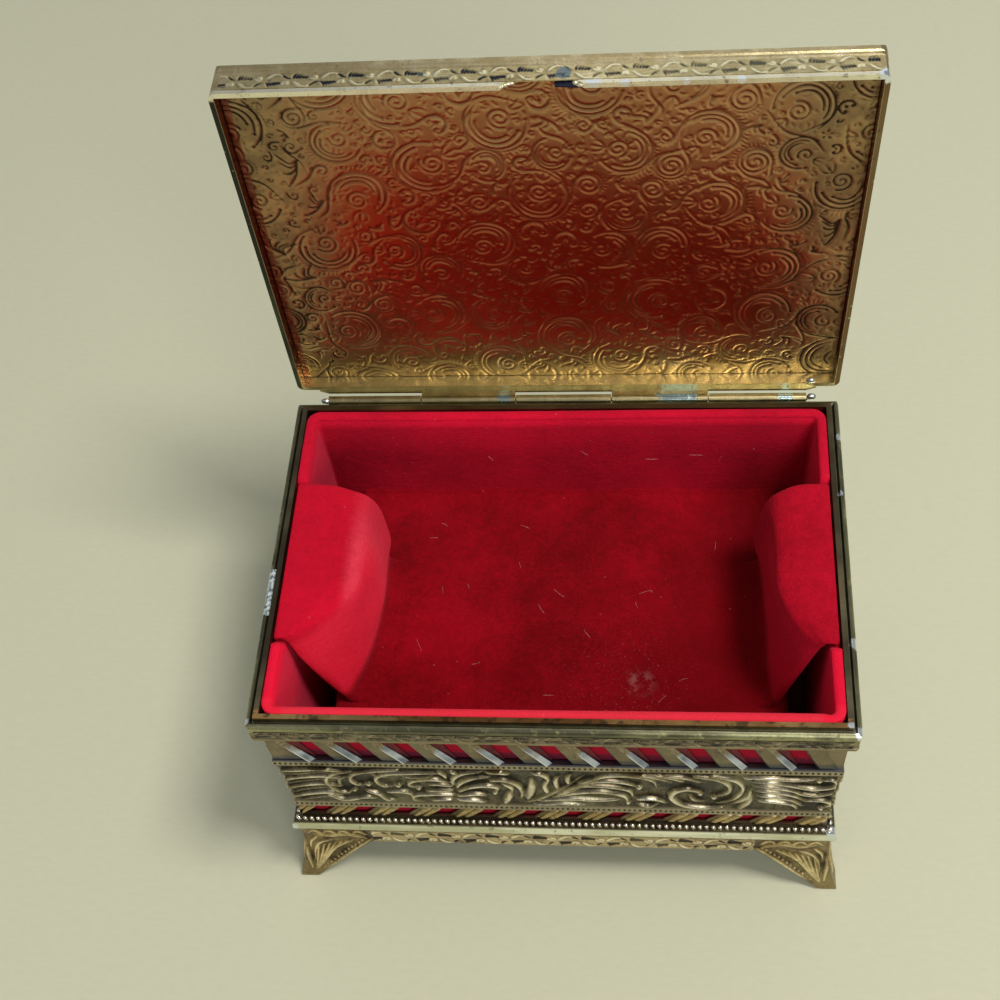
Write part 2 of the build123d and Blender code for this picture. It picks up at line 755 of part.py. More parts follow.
def build():
    """All pieces of the box by name, with the lid open."""
    pieces = {"rim_frame": make_rim()}
    for side in SIDES:
        pieces["wall_" + side] = make_wall(side)
    pieces["base_rail"] = make_rail()
    for side in SIDES:
        pieces["apron_" + side] = make_apron(side)
    for front_or_rear in ("front", "rear"):
        for left_or_right in ("left", "right"):
            name = "foot_" + front_or_rear + "_" + left_or_right
            pieces[name] = make_foot(front_or_rear, left_or_right)
    pieces["bottom_plate"] = make_bottom()
    pieces["lining_band"] = make_lining()
    pieces["floor_riser"] = make_riser()
    pieces["floor_saddle"] = make_floor()
    pieces["hinge_leaf_body"] = make_body_leaf()
    reach = HINGE_LENGTH / 2 + PIN_OVERHANG
    pieces["hinge_pin"] = hinge_rod(-reach, reach, PIN_RADIUS)
    pieces["lid_frame"] = opened(make_lid_frame())
    pieces["lid_top"] = opened(make_lid_top())
    pieces["lid_liner"] = opened(make_liner())
    pieces["hinge_leaf_lid"] = opened(make_lid_leaf())
    return {name: Pos(0, -SETBACK, 0) * shape for name, shape in pieces.items()}


if __name__ == "__main__":
    os.makedirs("parts", exist_ok=True)
    for piece_name, piece in build().items():
        export_step(piece, "parts/" + piece_name + ".step")
        print(piece_name, len(piece.solids()), round(piece.volume, 1))
    print("hinge", HINGE_Y - SETBACK, HINGE_Z, "setback", SETBACK)
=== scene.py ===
"""Looks of a footed trinket box: gilt casket with pierced walls, velvet lining and a lid standing open."""

import copy
import logging
import math
from dataclasses import dataclass, field
from enum import Enum
from functools import reduce
from typing import Callable, Sequence, Union

import bpy
import numpy as np
from mathutils import Matrix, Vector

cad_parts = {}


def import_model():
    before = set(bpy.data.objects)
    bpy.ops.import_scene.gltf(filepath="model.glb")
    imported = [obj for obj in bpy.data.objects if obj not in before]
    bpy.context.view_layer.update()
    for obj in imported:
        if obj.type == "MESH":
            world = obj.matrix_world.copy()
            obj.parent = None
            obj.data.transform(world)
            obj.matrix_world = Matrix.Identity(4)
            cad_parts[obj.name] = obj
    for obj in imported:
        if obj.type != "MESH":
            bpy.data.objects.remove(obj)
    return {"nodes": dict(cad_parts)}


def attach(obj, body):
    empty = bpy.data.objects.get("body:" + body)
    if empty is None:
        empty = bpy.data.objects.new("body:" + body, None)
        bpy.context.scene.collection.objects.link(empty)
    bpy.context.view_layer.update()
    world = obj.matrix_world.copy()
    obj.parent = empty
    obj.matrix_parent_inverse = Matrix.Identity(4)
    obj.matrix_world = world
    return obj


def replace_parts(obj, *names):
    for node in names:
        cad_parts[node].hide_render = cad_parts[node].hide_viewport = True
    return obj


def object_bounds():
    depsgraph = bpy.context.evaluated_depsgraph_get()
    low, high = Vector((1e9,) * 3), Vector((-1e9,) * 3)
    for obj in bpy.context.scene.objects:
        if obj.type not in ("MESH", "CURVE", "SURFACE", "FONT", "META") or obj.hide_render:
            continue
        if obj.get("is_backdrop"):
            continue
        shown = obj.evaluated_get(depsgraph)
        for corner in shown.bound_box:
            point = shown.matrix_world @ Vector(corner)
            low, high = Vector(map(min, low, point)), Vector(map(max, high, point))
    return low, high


# Lengths are in millimetres unless a name says otherwise
MM = 0.001
HALF_X = 54.0
HALF_Y = 36.0
BOX_MIDDLE_Y = -5.0
HINGE_Y = 35.5
HINGE_Z = 67.4
LID_OVERHANG = 3.0
FOOT_REACH = 15.5
LOG = logging.getLogger("trinket_box")

Triple = tuple[float, float, float]
Numbers = Union[float, np.ndarray]
Shape = tuple[np.ndarray, np.ndarray]


class Side(Enum):
    """One of the four sides: outward direction, half length and distance from the middle."""

    FRONT = (0.0, -1.0, HALF_X, HALF_Y)
    REAR = (0.0, 1.0, HALF_X, HALF_Y)
    LEFT = (-1.0, 0.0, HALF_Y, HALF_X)
    RIGHT = (1.0, 0.0, HALF_Y, HALF_X)

    @property
    def label(self) -> str:
        """Name of the side in small letters."""
        return self.name.lower()

    @property
    def outward(self) -> np.ndarray:
        """Unit vector that points away from the box."""
        return np.array([*self.value[:2], 0.0])

    @property
    def half(self) -> float:
        """Half the length of the mouth on this side."""
        return self.value[2]

    @property
    def long(self) -> bool:
        """Whether this is one of the two long sides."""
        return self.half == HALF_X

    def place(self, run: Numbers, out: Numbers, height: Numbers) -> np.ndarray:
        """Points on this side.

        Args:
            run: Distance along the side, to the right as seen from outside.
            out: Distance outward from the edge of the mouth.
            height: Height above the ground.

        Returns:
            Points, with the three coordinates on the last axis.
        """
        nx, ny, _, reach = self.value
        run, out, height = np.broadcast_arrays(np.asarray(run, float), out, height)
        x = nx * (reach + out) - ny * run
        y = ny * (reach + out) + nx * run + BOX_MIDDLE_Y
        return np.stack([x, y, height], axis=-1)


def opened(points: np.ndarray) -> np.ndarray:
    """Turns points of the closed lid a quarter turn back about the hinge line."""
    x, y, z = points[..., 0], points[..., 1], points[..., 2]
    return np.stack([x, HINGE_Y + (z - HINGE_Z), HINGE_Z - (y - HINGE_Y)], axis=-1)


def smooth_step(low: float, high: float, value: Numbers) -> Numbers:
    """Rises from 0 at low to 1 at high as 3t squared minus 2t cubed."""
    t = np.clip((np.asarray(value, float) - low) / (high - low), 0.0, 1.0)
    return t * t * (3.0 - 2.0 * t)


def through(knots: np.ndarray, count: int) -> np.ndarray:
    """Points spread evenly over the Catmull-Rom spline through knots, one per row."""
    ends = np.vstack([2 * knots[0] - knots[1], knots, 2 * knots[-1] - knots[-2]])
    t = np.linspace(0, len(knots) - 1 - 1e-9, count)
    k = t.astype(int)
    f = (t - k)[:, None]
    a, b, c, d = ends[k], ends[k + 1], ends[k + 2], ends[k + 3]
    return 0.5 * (2 * b + (c - a) * f + (2 * a - 5 * b + 4 * c - d) * f**2 + (3 * b - a - 3 * c + d) * f**3)


def circle_through(*points: Sequence[float]) -> tuple[float, float, float]:
    """Middle and radius of the circle through three points."""
    a = np.array(points)
    x, y, rest = np.linalg.solve(np.hstack([2 * a, np.ones((3, 1))]), (a**2).sum(1))
    return x, y, math.sqrt(rest + x**2 + y**2)


def toward(spot: Sequence[float], reach: float, angle: float) -> np.ndarray:
    """Point at a distance from a spot, at an angle in radians."""
    return np.asarray(spot, float) + reach * np.array([math.cos(angle), math.sin(angle)])


def unit_grid(rows: int, columns: int) -> list[np.ndarray]:
    """Two parameters from 0 to 1 over a grid."""
    return np.meshgrid(np.linspace(0, 1, rows), np.linspace(0, 1, columns), indexing="ij")


def grid(u_low: float, u_high: float, v_low: float, v_high: float, pitch: float) -> list[np.ndarray]:
    """Two parameters over a rectangle, in steps of about one pitch."""
    u = np.linspace(u_low, u_high, max(int(round((u_high - u_low) / pitch)), 2) + 1)
    v = np.linspace(v_low, v_high, max(int(round((v_high - v_low) / pitch)), 2) + 1)
    return np.meshgrid(u, v, indexing="ij")


# Meshes


def numbered(points: np.ndarray) -> np.ndarray:
    """Number of each point in a grid of points."""
    return np.arange(points.shape[0] * points.shape[1]).reshape(points.shape[:2])


def quads(index: np.ndarray) -> np.ndarray:
    """Four-cornered faces between neighbours in a grid of point numbers."""
    return np.stack([index[:-1, :-1], index[:-1, 1:], index[1:, 1:], index[1:, :-1]], axis=-1).reshape(-1, 4)


def border_of(index: np.ndarray) -> np.ndarray:
    """Border of a grid of point numbers, in order round it."""
    return np.concatenate([index[0], index[1:, -1], index[-1, -2::-1], index[-2:0:-1, 0]])


def closed(points: np.ndarray, faces: np.ndarray) -> Shape:
    """Closed shape, its faces turned round if the volume that they enclose comes out negative."""
    points = points.reshape(-1, 3)
    a, b, c, d = (points[faces[:, k]] - points.mean(0) for k in range(4))
    volume = np.einsum("ij,ij->", a, np.cross(b, c)) + np.einsum("ij,ij->", a, np.cross(c, d))
    return points, faces if volume > 0 else faces[:, ::-1]


def shell(front: np.ndarray, back: np.ndarray) -> Shape:
    """Closed shell of two grids of points of one size and the strip round their borders."""
    index = numbered(front)
    near, border, far = quads(index), border_of(index), index.size
    ahead = np.roll(border, -1)
    strip = np.stack([ahead, border, border + far, ahead + far], axis=-1)
    points = np.concatenate([front.reshape(-1, 3), back.reshape(-1, 3)])
    return closed(points, np.concatenate([near, near[:, ::-1] + far, strip]))


def plate(front: np.ndarray, sunk: np.ndarray) -> Shape:
    """Closed plate: a grid, a strip down to its sunk border, and a back that joins opposite border points."""
    index = numbered(front)
    border = border_of(index)
    far = np.arange(len(border)) + index.size
    strip = np.stack([np.roll(border, -1), border, far, np.roll(far, -1)], axis=-1)
    k = np.arange(1, len(border) // 2)
    back = np.stack([far[k], far[k - 1], far[len(far) - k], far[len(far) - 1 - k]], axis=-1)
    points = np.concatenate([front.reshape(-1, 3), sunk.reshape(-1, 3)[border]])
    return closed(points, np.concatenate([quads(index), strip, back]))


def tube(rings: np.ndarray) -> Shape:
    """Closed tube through rings of points, its ends closed by faces that join opposite points."""
    index = numbered(rings)
    columns = index.shape[1]
    k = np.arange(1, columns // 2)
    faces = [quads(np.hstack([index, index[:, :1]]))]
    for end in (index[0], index[-1][::-1]):
        faces.append(np.stack([end[k - 1], end[k], end[columns - 1 - k], end[columns - k]], axis=-1))
    return closed(rings, np.concatenate(faces))


def ring(rings: np.ndarray) -> Shape:
    """Closed ring: rings of points in a loop, the last joined to the first."""
    return closed(rings, quads(np.pad(numbered(rings), ((0, 1), (0, 1)), mode="wrap")))


def bead(steps: int = 3) -> Shape:
    """Unit ball whose faces are those of a cube's grid pushed out to the ball."""
    line = np.tan(np.linspace(-math.pi / 4, math.pi / 4, steps))
    a, b = np.meshgrid(line, line, indexing="ij")
    cubes = []
    for axis in range(3):
        for sign in (-1.0, 1.0):
            cubes.append(np.roll(np.stack([np.full_like(a, sign), a * sign, b], axis=-1), axis, axis=-1))
    faces = np.concatenate([quads(numbered(cube)) + k * steps * steps for k, cube in enumerate(cubes)])
    joined = np.stack(cubes).reshape(-1, 3)
    joined = np.round(joined / np.linalg.norm(joined, axis=1)[:, None], 7)
    points, back = np.unique(joined, axis=0, return_inverse=True)
    faces = back.reshape(-1)[faces]
    normal = np.cross(points[faces[:, 1]] - points[faces[:, 0]], points[faces[:, 2]] - points[faces[:, 0]])
    inward = np.einsum("ij,ij->i", normal, points[faces].mean(1)) < 0
    faces[inward] = faces[inward][:, ::-1]
    return points, faces


def joined_shapes(shapes: Sequence[Shape]) -> Shape:
    """Several shapes as one list of points and one of faces."""
    starts = np.cumsum([0] + [len(points) for points, _ in shapes])
    faces = [faces + start for (_, faces), start in zip(shapes, starts)]
    return np.concatenate([points for points, _ in shapes]), np.concatenate(faces)


@dataclass
class Piece:
    """A finished mesh that rides on a body and takes a finish."""

    name: str
    body: str
    material: bpy.types.Material
    crease: float = 50.0
    slot: str = "gilt_brass"

    def make(self, points: np.ndarray, faces: np.ndarray, lift: np.ndarray | None = None) -> bpy.types.Object:
        """Puts points and faces into a mesh object at the origin.

        Args:
            points: Points in millimetres.
            faces: Four-cornered faces.
            lift: Height of the ornament at each point, kept for the finish.

        Returns:
            The object, riding on its body.
        """
        mesh = bpy.data.meshes.new(self.name)
        mesh.vertices.add(len(points))
        mesh.vertices.foreach_set("co", (points * MM).astype(np.float32).ravel())
        mesh.loops.add(faces.size)
        mesh.loops.foreach_set("vertex_index", faces.astype(np.int32).ravel())
        mesh.polygons.add(len(faces))
        mesh.polygons.foreach_set("loop_start", np.arange(0, faces.size, 4, dtype=np.int32))
        mesh.update(calc_edges=True)
        mesh.shade_smooth()
        mesh.set_sharp_from_angle(angle=math.radians(self.crease))
        if lift is not None:
            kept = mesh.attributes.new("lift", "FLOAT", "POINT")
            kept.data.foreach_set("value", lift.astype(np.float32).ravel())
        mesh.materials.append(self.material)
        made = bpy.data.objects.new(self.name, mesh)
        bpy.context.scene.collection.objects.link(made)
        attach(made, self.body)
        LOG.info("%s: %d faces", self.name, len(faces))
        return made


# Shader arithmetic


def maths(operation: str, swapped: bool = False) -> Callable:
    """Method that adds one Math node, with its two inputs swapped if asked."""

    def method(self: "Value", other: object = 0.0) -> "Value":
        """Output of the node."""
        first, second = (other, self) if swapped else (self, other)
        return self.kit.node("ShaderNodeMath", {0: first, 1: second}, operation=operation)

    return method


@dataclass
class Value:
    """A number or colour on a surface: a socket that is added, multiplied and compared in plain Python."""

    kit: "Kit"
    socket: bpy.types.NodeSocket

    __add__ = __radd__ = maths("ADD")
    __sub__ = maths("SUBTRACT")
    __rsub__ = maths("SUBTRACT", True)
    __mul__ = __rmul__ = maths("MULTIPLY")
    __abs__ = maths("ABSOLUTE")
    least = maths("MINIMUM")
    most = maths("MAXIMUM")

    def held(self) -> "Value":
        """Kept between 0 and 1."""
        return self.most(0.0).least(1.0)

    def rise(self, low: float, high: float) -> "Value":
        """Rises smoothly from 0 at low to 1 at high, or falls if high is below low."""
        ends = {1: low, 2: high, 3: 0.0, 4: 1.0} if high > low else {1: high, 2: low, 3: 1.0, 4: 0.0}
        return self.kit.node("ShaderNodeMapRange", {0: self, **ends}, interpolation_type="SMOOTHSTEP")

    def coat(self, share: object, over: object) -> "Value":
        """This colour with another laid over it by a share."""
        return self.kit.mix(share, self, over)


class Kit:
    """The node tree of one finish."""

    def __init__(self, name: str) -> None:
        """Starts a material with its shader and its object coordinates."""
        self.material = bpy.data.materials.new(name)
        self.material.use_nodes = True
        self.tree = self.material.node_tree
        self.tree.nodes.clear()
        self.shader = self.tree.nodes.new("ShaderNodeBsdfPrincipled")
        output = self.tree.nodes.new("ShaderNodeOutputMaterial")
        self.tree.links.new(self.shader.outputs[0], output.inputs["Surface"])
        self.place = self.node("ShaderNodeTexCoord", {}, "Object")

    def put(self, socket: bpy.types.NodeSocket, value: object) -> None:
        """Links a value to a socket, or writes a constant on it."""
        if isinstance(value, Value):
            self.tree.links.new(value.socket, socket)
        elif isinstance(value, (tuple, list)) and len(value) == 3 and socket.type == "RGBA":
            socket.default_value = (*value, 1.0)
        else:
            socket.default_value = value

    def node(self, kind: str, values: dict, output: object = 0, **settings: object) -> Value:
        """Adds any node.

        Args:
            kind: Name of the type of node.
            values: Constants or links for its input sockets, by name or number.
            output: Name or number of the output socket to give back.
            settings: Settings that are written on the node first.

        Returns:
            The output socket as a value.
        """
        made = self.tree.nodes.new(kind)
        for name, setting in settings.items():
            setattr(made, name, setting)
        for name, value in values.items():
            self.put(made.inputs[name], value)
        return Value(self, made.outputs[output])

    def noise(self, scale: float, detail: float = 2.0, rough: float = 0.5,
              stretch: Triple | None = None) -> Value:
        """Cloudy noise from 0 to 1, with scale in clouds per metre and a factor on each axis."""
        place = self.place
        if stretch:
            place = self.node("ShaderNodeMapping", {"Vector": place, "Scale": stretch})
        values = {"Vector": place, "Scale": scale, "Detail": detail, "Roughness": rough}
        return self.node("ShaderNodeTexNoise", values)

    def cells(self, scale: float) -> Value:
        """Distance from the nearest of scattered points, in cells."""
        return self.node("ShaderNodeTexVoronoi", {"Vector": self.place, "Scale": scale}, "Distance")

    def axes(self) -> list[Value]:
        """The three object coordinates in millimetres."""
        return [self.node("ShaderNodeSeparateXYZ", {0: self.place}, name) * (1 / MM) for name in "XYZ"]

    def lift(self) -> Value:
        """Height of the ornament, from the mesh."""
        return self.node("ShaderNodeAttribute", {}, "Fac", attribute_name="lift")

    def mix(self, share: object, first: object, second: object) -> Value:
        """Colour between two colours."""
        return self.node("ShaderNodeMix", {0: share, 6: first, 7: second}, 2, data_type="RGBA")

    def bump(self, height: Value, distance: float, strength: float) -> Value:
        """Normal that follows a height."""
        return self.node("ShaderNodeBump", {"Height": height, "Distance": distance * MM, "Strength": strength})

    def near(self, *spots: Sequence[float]) -> Value:
        """1 at each spot, given as x, y, z and the distance at which it has fallen smoothly to 0."""
        shares = []
        for *point, reach in spots:
            values = {0: self.place, 1: [part * MM for part in point]}
            far = self.node("ShaderNodeVectorMath", values, "Value", operation="DISTANCE")
            shares.append(far.rise(reach * MM, 0.0))
        return reduce(Value.most, shares)

    def finish(self, **sockets: object) -> bpy.types.Material:
        """Sets the shader's sockets, whose names are given with _ for a space, and gives the material."""
        for name, value in sockets.items():
            label = " ".join(word.upper() if word == "ior" else word.capitalize() for word in name.split("_"))
            self.put(self.shader.inputs[label], value)
        return self.material


# Finishes


@dataclass(frozen=True)
class Gilt:
    """Aged gilt metal: bright where it is rubbed, brown and olive where tarnish lies, with a painted highlight
    on raised crests and painted glints among its bare spots.
    """

    name: str
    bright: Triple = (0.74, 0.60, 0.33)
    middle: Triple = (0.40, 0.30, 0.14)
    dark: Triple = (0.085, 0.068, 0.040)
    rubbed: float = 0.5
    roughness: float = 0.30
    raised: float = 0.0
    # Bare spots as x, y, z and reach, and their colour: partly wear, partly painted glints where corners catch
    # the light
    wear_and_glint_spots: tuple[tuple[float, float, float, float], ...] = ()
    bare: Triple = (0.80, 0.84, 0.88)
    olive: Triple = (0.30, 0.29, 0.17)
    # Painted highlight colour, laid on the highest relief
    crest: Triple = (1.0, 0.94, 0.80)

    def tone(self, kit: Kit, rub: Value) -> Value:
        """Colour by place: the three golds everywhere."""
        return kit.mix(rub.rise(0.0, 0.5), self.dark, self.middle).coat(rub.rise(0.45, 1.0), self.bright)

    def build(self) -> bpy.types.Material:
        """Mixes three golds by lift and cloudy noise, with a painted highlight on the crests, dull spots, fine
        scratches and bare corners that are partly wear and partly painted glints.
        """
        kit = Kit(self.name)
        clouds, patches = kit.noise(90.0, 4.0, 0.6), kit.noise(300.0, 3.0, 0.65)
        fine, scratches = kit.noise(2600.0, 3.0, 0.6), kit.noise(1500.0, 2.0, 0.5, (0.15, 1.0, 1.0))
        rub = (clouds - 0.5) * 0.7 + (patches - 0.5) * 0.8 + (fine - 0.5) * 0.4 + self.rubbed
        if self.raised:
            rub = rub + (kit.lift() - 0.22) * self.raised
        rub = rub.held()
        colour = self.tone(kit, rub)
        # Painted highlight: the crest colour over the highest relief
        if self.raised:
            colour = colour.coat(kit.lift().rise(0.46, 0.70) * 0.7, self.crest)
        olive = kit.noise(45.0, 3.0, 0.6).rise(0.5, 0.72) * 0.4
        spots = kit.noise(700.0, 2.0, 0.5).rise(0.64, 0.76) * 0.6
        colour = colour.coat(olive * (1 - rub * 0.6), self.olive).coat(spots, self.dark)
        rough = self.roughness + (1 - rub) * 0.16 + spots * 0.2 + (scratches - 0.5) * 0.16
        # Bare silver spots round the given places: partly wear, partly painted glints
        if self.wear_and_glint_spots:
            bare = (kit.near(*self.wear_and_glint_spots) + (fine - 0.5) * 0.9 + (patches - 0.5) * 0.8).rise(0.34, 0.52)
            colour, rough = colour.coat(bare, self.bare), rough - bare * 0.10
        normal = kit.bump(fine * 0.5 + scratches * 0.3 + patches, 0.06, 0.7)
        return kit.finish(base_color=colour, metallic=1.0, roughness=rough, normal=normal)


@dataclass(frozen=True)
class RimGilt(Gilt):
    """Rim moulding: thin orange-gold lip, dark olive hollow and a green-gold nose with painted highlight lines.
    """

    def tone(self, kit: Kit, rub: Value) -> Value:
        """Colour by the distance outward from the mouth and the height."""
        x, y, z = kit.axes()
        out = (abs(x) - HALF_X).most(abs(y - BOX_MIDDLE_Y) - HALF_Y)
        lip = z.rise(69.1, 69.6) * out.rise(1.6, 0.9)
        nose = out.rise(1.7, 2.3) * z.rise(66.3, 66.8)
        along = kit.noise(240.0, 3.0, 0.6, (0.16, 0.16, 1.0))
        # Painted highlights along the nose
        nose_highlights = nose * kit.noise(330.0, 3.0, 0.6).rise(0.55, 0.68) * 0.6
        flecks = kit.noise(520.0, 3.0, 0.6).rise(0.50, 0.64) * 0.75
        hollow = kit.mix(rub.rise(0.1, 0.8), (0.085, 0.078, 0.048), (0.21, 0.20, 0.12))
        green = kit.mix(along.rise(0.42, 0.62), (0.11, 0.105, 0.06), (0.34, 0.33, 0.17))
        skirt = kit.mix(rub, (0.17, 0.135, 0.08), (0.42, 0.34, 0.19))
        brown = kit.mix(along.rise(0.45, 0.7), (0.085, 0.070, 0.042), (0.24, 0.20, 0.11))
        share = (along.rise(0.35, 0.65) + (rub - 0.5) * 0.6).held()
        gold = kit.mix(share, (0.18, 0.085, 0.028), (0.56, 0.35, 0.13)).coat(flecks, (0.055, 0.038, 0.022))
        colour = hollow.coat(nose, green).coat(z.rise(66.8, 66.3), skirt).coat(nose_highlights, (0.52, 0.48, 0.24))
        return colour.coat(lip, brown.coat(y.rise(-39.8, -40.4), gold))


@dataclass(frozen=True)
class WallGilt(Gilt):
    """Wall strip: sills painted dark slate as shade, lighter ridges and a dark groove under the pearls."""

    def tone(self, kit: Kit, rub: Value) -> Value:
        """Colour by height."""
        z = kit.axes()[2]
        ridge = (z.rise(49.9, 50.2) * z.rise(52.3, 51.9)).most(z.rise(29.7, 30.0) * z.rise(32.3, 32.0))
        light = kit.mix(rub, (0.30, 0.25, 0.16), (0.60, 0.52, 0.36))
        # Painted shade: dark slate on the sills under the openings
        sill = z.rise(51.7, 52.0) * z.rise(54.5, 52.8) * 0.85
        colour = super().tone(kit, rub).coat(ridge * 0.8, light).coat(sill, (0.11, 0.12, 0.155))
        return colour.coat(z.rise(26.2, 25.2) * 0.8, (0.12, 0.10, 0.066))


@dataclass(frozen=True)
class BarGilt(Gilt):
    """Slanted bars: brown gold, painted dark slate shade where they run into the sill."""

    def tone(self, kit: Kit, rub: Value) -> Value:
        """Colour by height."""
        # Painted shade: dark slate low on the bars
        return super().tone(kit, rub).coat(kit.axes()[2].rise(55.6, 53.8) * 0.88, (0.040, 0.045, 0.062))


@dataclass(frozen=True)
class RailGilt(Gilt):
    """Base rail: dark pearl bed and a pale green-gold half round with painted white highlight lines."""

    def tone(self, kit: Kit, rub: Value) -> Value:
        """Colour by height."""
        along = kit.noise(200.0, 3.0, 0.55, (0.2, 0.2, 1.0))
        # Painted highlights: near-white lines along the half round
        nose = kit.mix(along.rise(0.38, 0.62), (0.62, 0.62, 0.44), (1.0, 1.0, 0.86))
        return nose.coat(kit.axes()[2].rise(23.9, 24.3), (0.14, 0.12, 0.08))


@dataclass(frozen=True)
class LidGilt(Gilt):
    """Lid frame: red-brown inside, yellow at the back, a painted pale highlight along the front edge and dark
    along the sides.
    """

    def tone(self, kit: Kit, rub: Value) -> Value:
        """Colour by place, with the lid open."""
        x, y, z = kit.axes()
        inside = abs(x).rise(56.15, 56.0) * z.rise(146.0, 145.85) * y.rise(41.2, 40.9)
        edge = y.rise(38.45, 38.2) * (1 - inside)
        side = edge * abs(x).rise(55.95, 56.1) * z.rise(145.8, 145.0)
        copper = kit.mix(rub, (0.12, 0.032, 0.018), (0.30, 0.12, 0.06))
        yellow = kit.mix(rub, (0.56, 0.45, 0.20), (1.0, 0.90, 0.52))
        # Painted highlight colour for the front edge
        edge_highlight_colour = kit.mix(rub.rise(0.25, 0.6), (0.30, 0.27, 0.16), (1.0, 0.96, 0.74))
        ground = kit.mix(x.rise(-10.0, 10.0), (0.035, 0.036, 0.026), (0.20, 0.125, 0.055))
        dotted = ground.coat(kit.cells(420.0).rise(0.16, 0.08) * 0.7, (0.50, 0.46, 0.32))
        colour = super().tone(kit, rub).coat(inside * z.rise(74.5, 76.0), copper)
        return colour.coat(inside * z.rise(76.0, 74.5), yellow).coat(edge * 0.85, edge_highlight_colour).coat(side, dotted)


@dataclass(frozen=True)
class Blade:
    """Blade of bare metal: blue-grey, partly a painted pale reflection, with a painted near-white highlight
    along its edges and brown above.
    """

    name: str

    def build(self) -> bpy.types.Material:
        """Mixes three greys and a brown by cloudy noise and height, the near-white grey laid as a painted
        highlight by the edges' lift.
        """
        kit = Kit(self.name)
        clouds, fine = kit.noise(170.0, 2.0, 0.5), kit.noise(1800.0, 2.0, 0.5)
        above = (kit.axes()[2] + (clouds - 0.5) * 10.0).rise(56.8, 59.2) * 0.92
        brown = kit.mix(fine.rise(0.3, 0.7), (0.15, 0.11, 0.065), (0.34, 0.26, 0.15))
        colour = kit.mix(clouds.rise(0.35, 0.65), (0.20, 0.23, 0.32), (0.56, 0.61, 0.78))
        # Painted highlight: near-white along the raised edges
        colour = colour.coat(kit.lift().rise(0.25, 0.8), (0.95, 0.97, 1.0)).coat(above, brown)
        normal = kit.bump(fine, 0.03, 0.6)
        return kit.finish(base_color=colour, metallic=1.0, roughness=0.18 + fine * 0.1, normal=normal)


@dataclass(frozen=True)
class LidSheet:
    """Copper-gold embossed sheet with a painted red reflection of the velvet in the middle, darker at the ends
    and yellow by the hinge.
    """

    name: str

    def build(self) -> bpy.types.Material:
        """Mixes copper, gold and brown by place, noise and lift, with a painted red reflection and a painted
        highlight beside the grooves.
        """
        kit = Kit(self.name)
        x, _, z = kit.axes()
        clouds, patches = kit.noise(50.0, 3.0, 0.55), kit.noise(210.0, 3.0, 0.6)
        fine, lift = kit.noise(3000.0, 3.0, 0.6), kit.lift()
        copper = kit.mix(clouds.rise(0.35, 0.65), (0.44, 0.19, 0.078), (0.56, 0.27, 0.115))
        gold = kit.mix(patches.rise(0.3, 0.7), (0.38, 0.25, 0.115), (0.52, 0.37, 0.18))
        low = (z + (clouds - 0.5) * 6.0).rise(87.0, 76.0)
        ends = (abs(x) + (clouds - 0.5) * 20.0).rise(32.0, 52.0)
        # Painted reflection: the velvet's red over the middle of the sheet
        red = kit.near((-26.0, 37.0, 112.0, 30.0), (28.0, 37.0, 98.0, 30.0), (0.0, 37.0, 104.0, 34.0))
        red = (red * 1.5 + (clouds - 0.5) * 0.7).held() * 0.85
        dull = (ends * patches.rise(0.34, 0.6) + patches.rise(0.62, 0.8) * 0.25).held()
        groove = lift.rise(0.12, 0.50)
        grooved = (dull * 0.5 + groove * (0.38 + ends * 0.55)).held()
        # Painted highlight: pale copper on the ground just beside each groove
        beside = lift.rise(-0.05, -0.22) * (0.55 - ends * 0.3)
        pricks = kit.cells(260.0).rise(0.055, 0.035) * kit.noise(75.0).rise(0.5, 0.6) * 0.9
        colour = kit.mix((low * 0.9 + ends * 0.7 + z.rise(112.0, 138.0) * 0.35).held(), copper, gold)
        for share, over in (
            (red, (0.42, 0.088, 0.036)), (low * 0.5, (0.66, 0.47, 0.21)), (grooved, (0.050, 0.030, 0.017)),
            (beside, (0.86, 0.60, 0.36)), (x.rise(-54.45, -54.7) * 0.9, (0.26, 0.085, 0.045)),
            (x.rise(54.75, 55.0) * 0.9, (0.30, 0.21, 0.10)), (pricks, (0.03, 0.018, 0.010)),
        ):
            colour = colour.coat(share, over)
        rough = 0.32 + groove * 0.12 + dull * 0.12 + (fine - 0.5) * 0.12
        normal = kit.bump(fine * 0.45 + patches, 0.04, 0.7)
        return kit.finish(base_color=colour, metallic=1.0, roughness=rough, normal=normal)


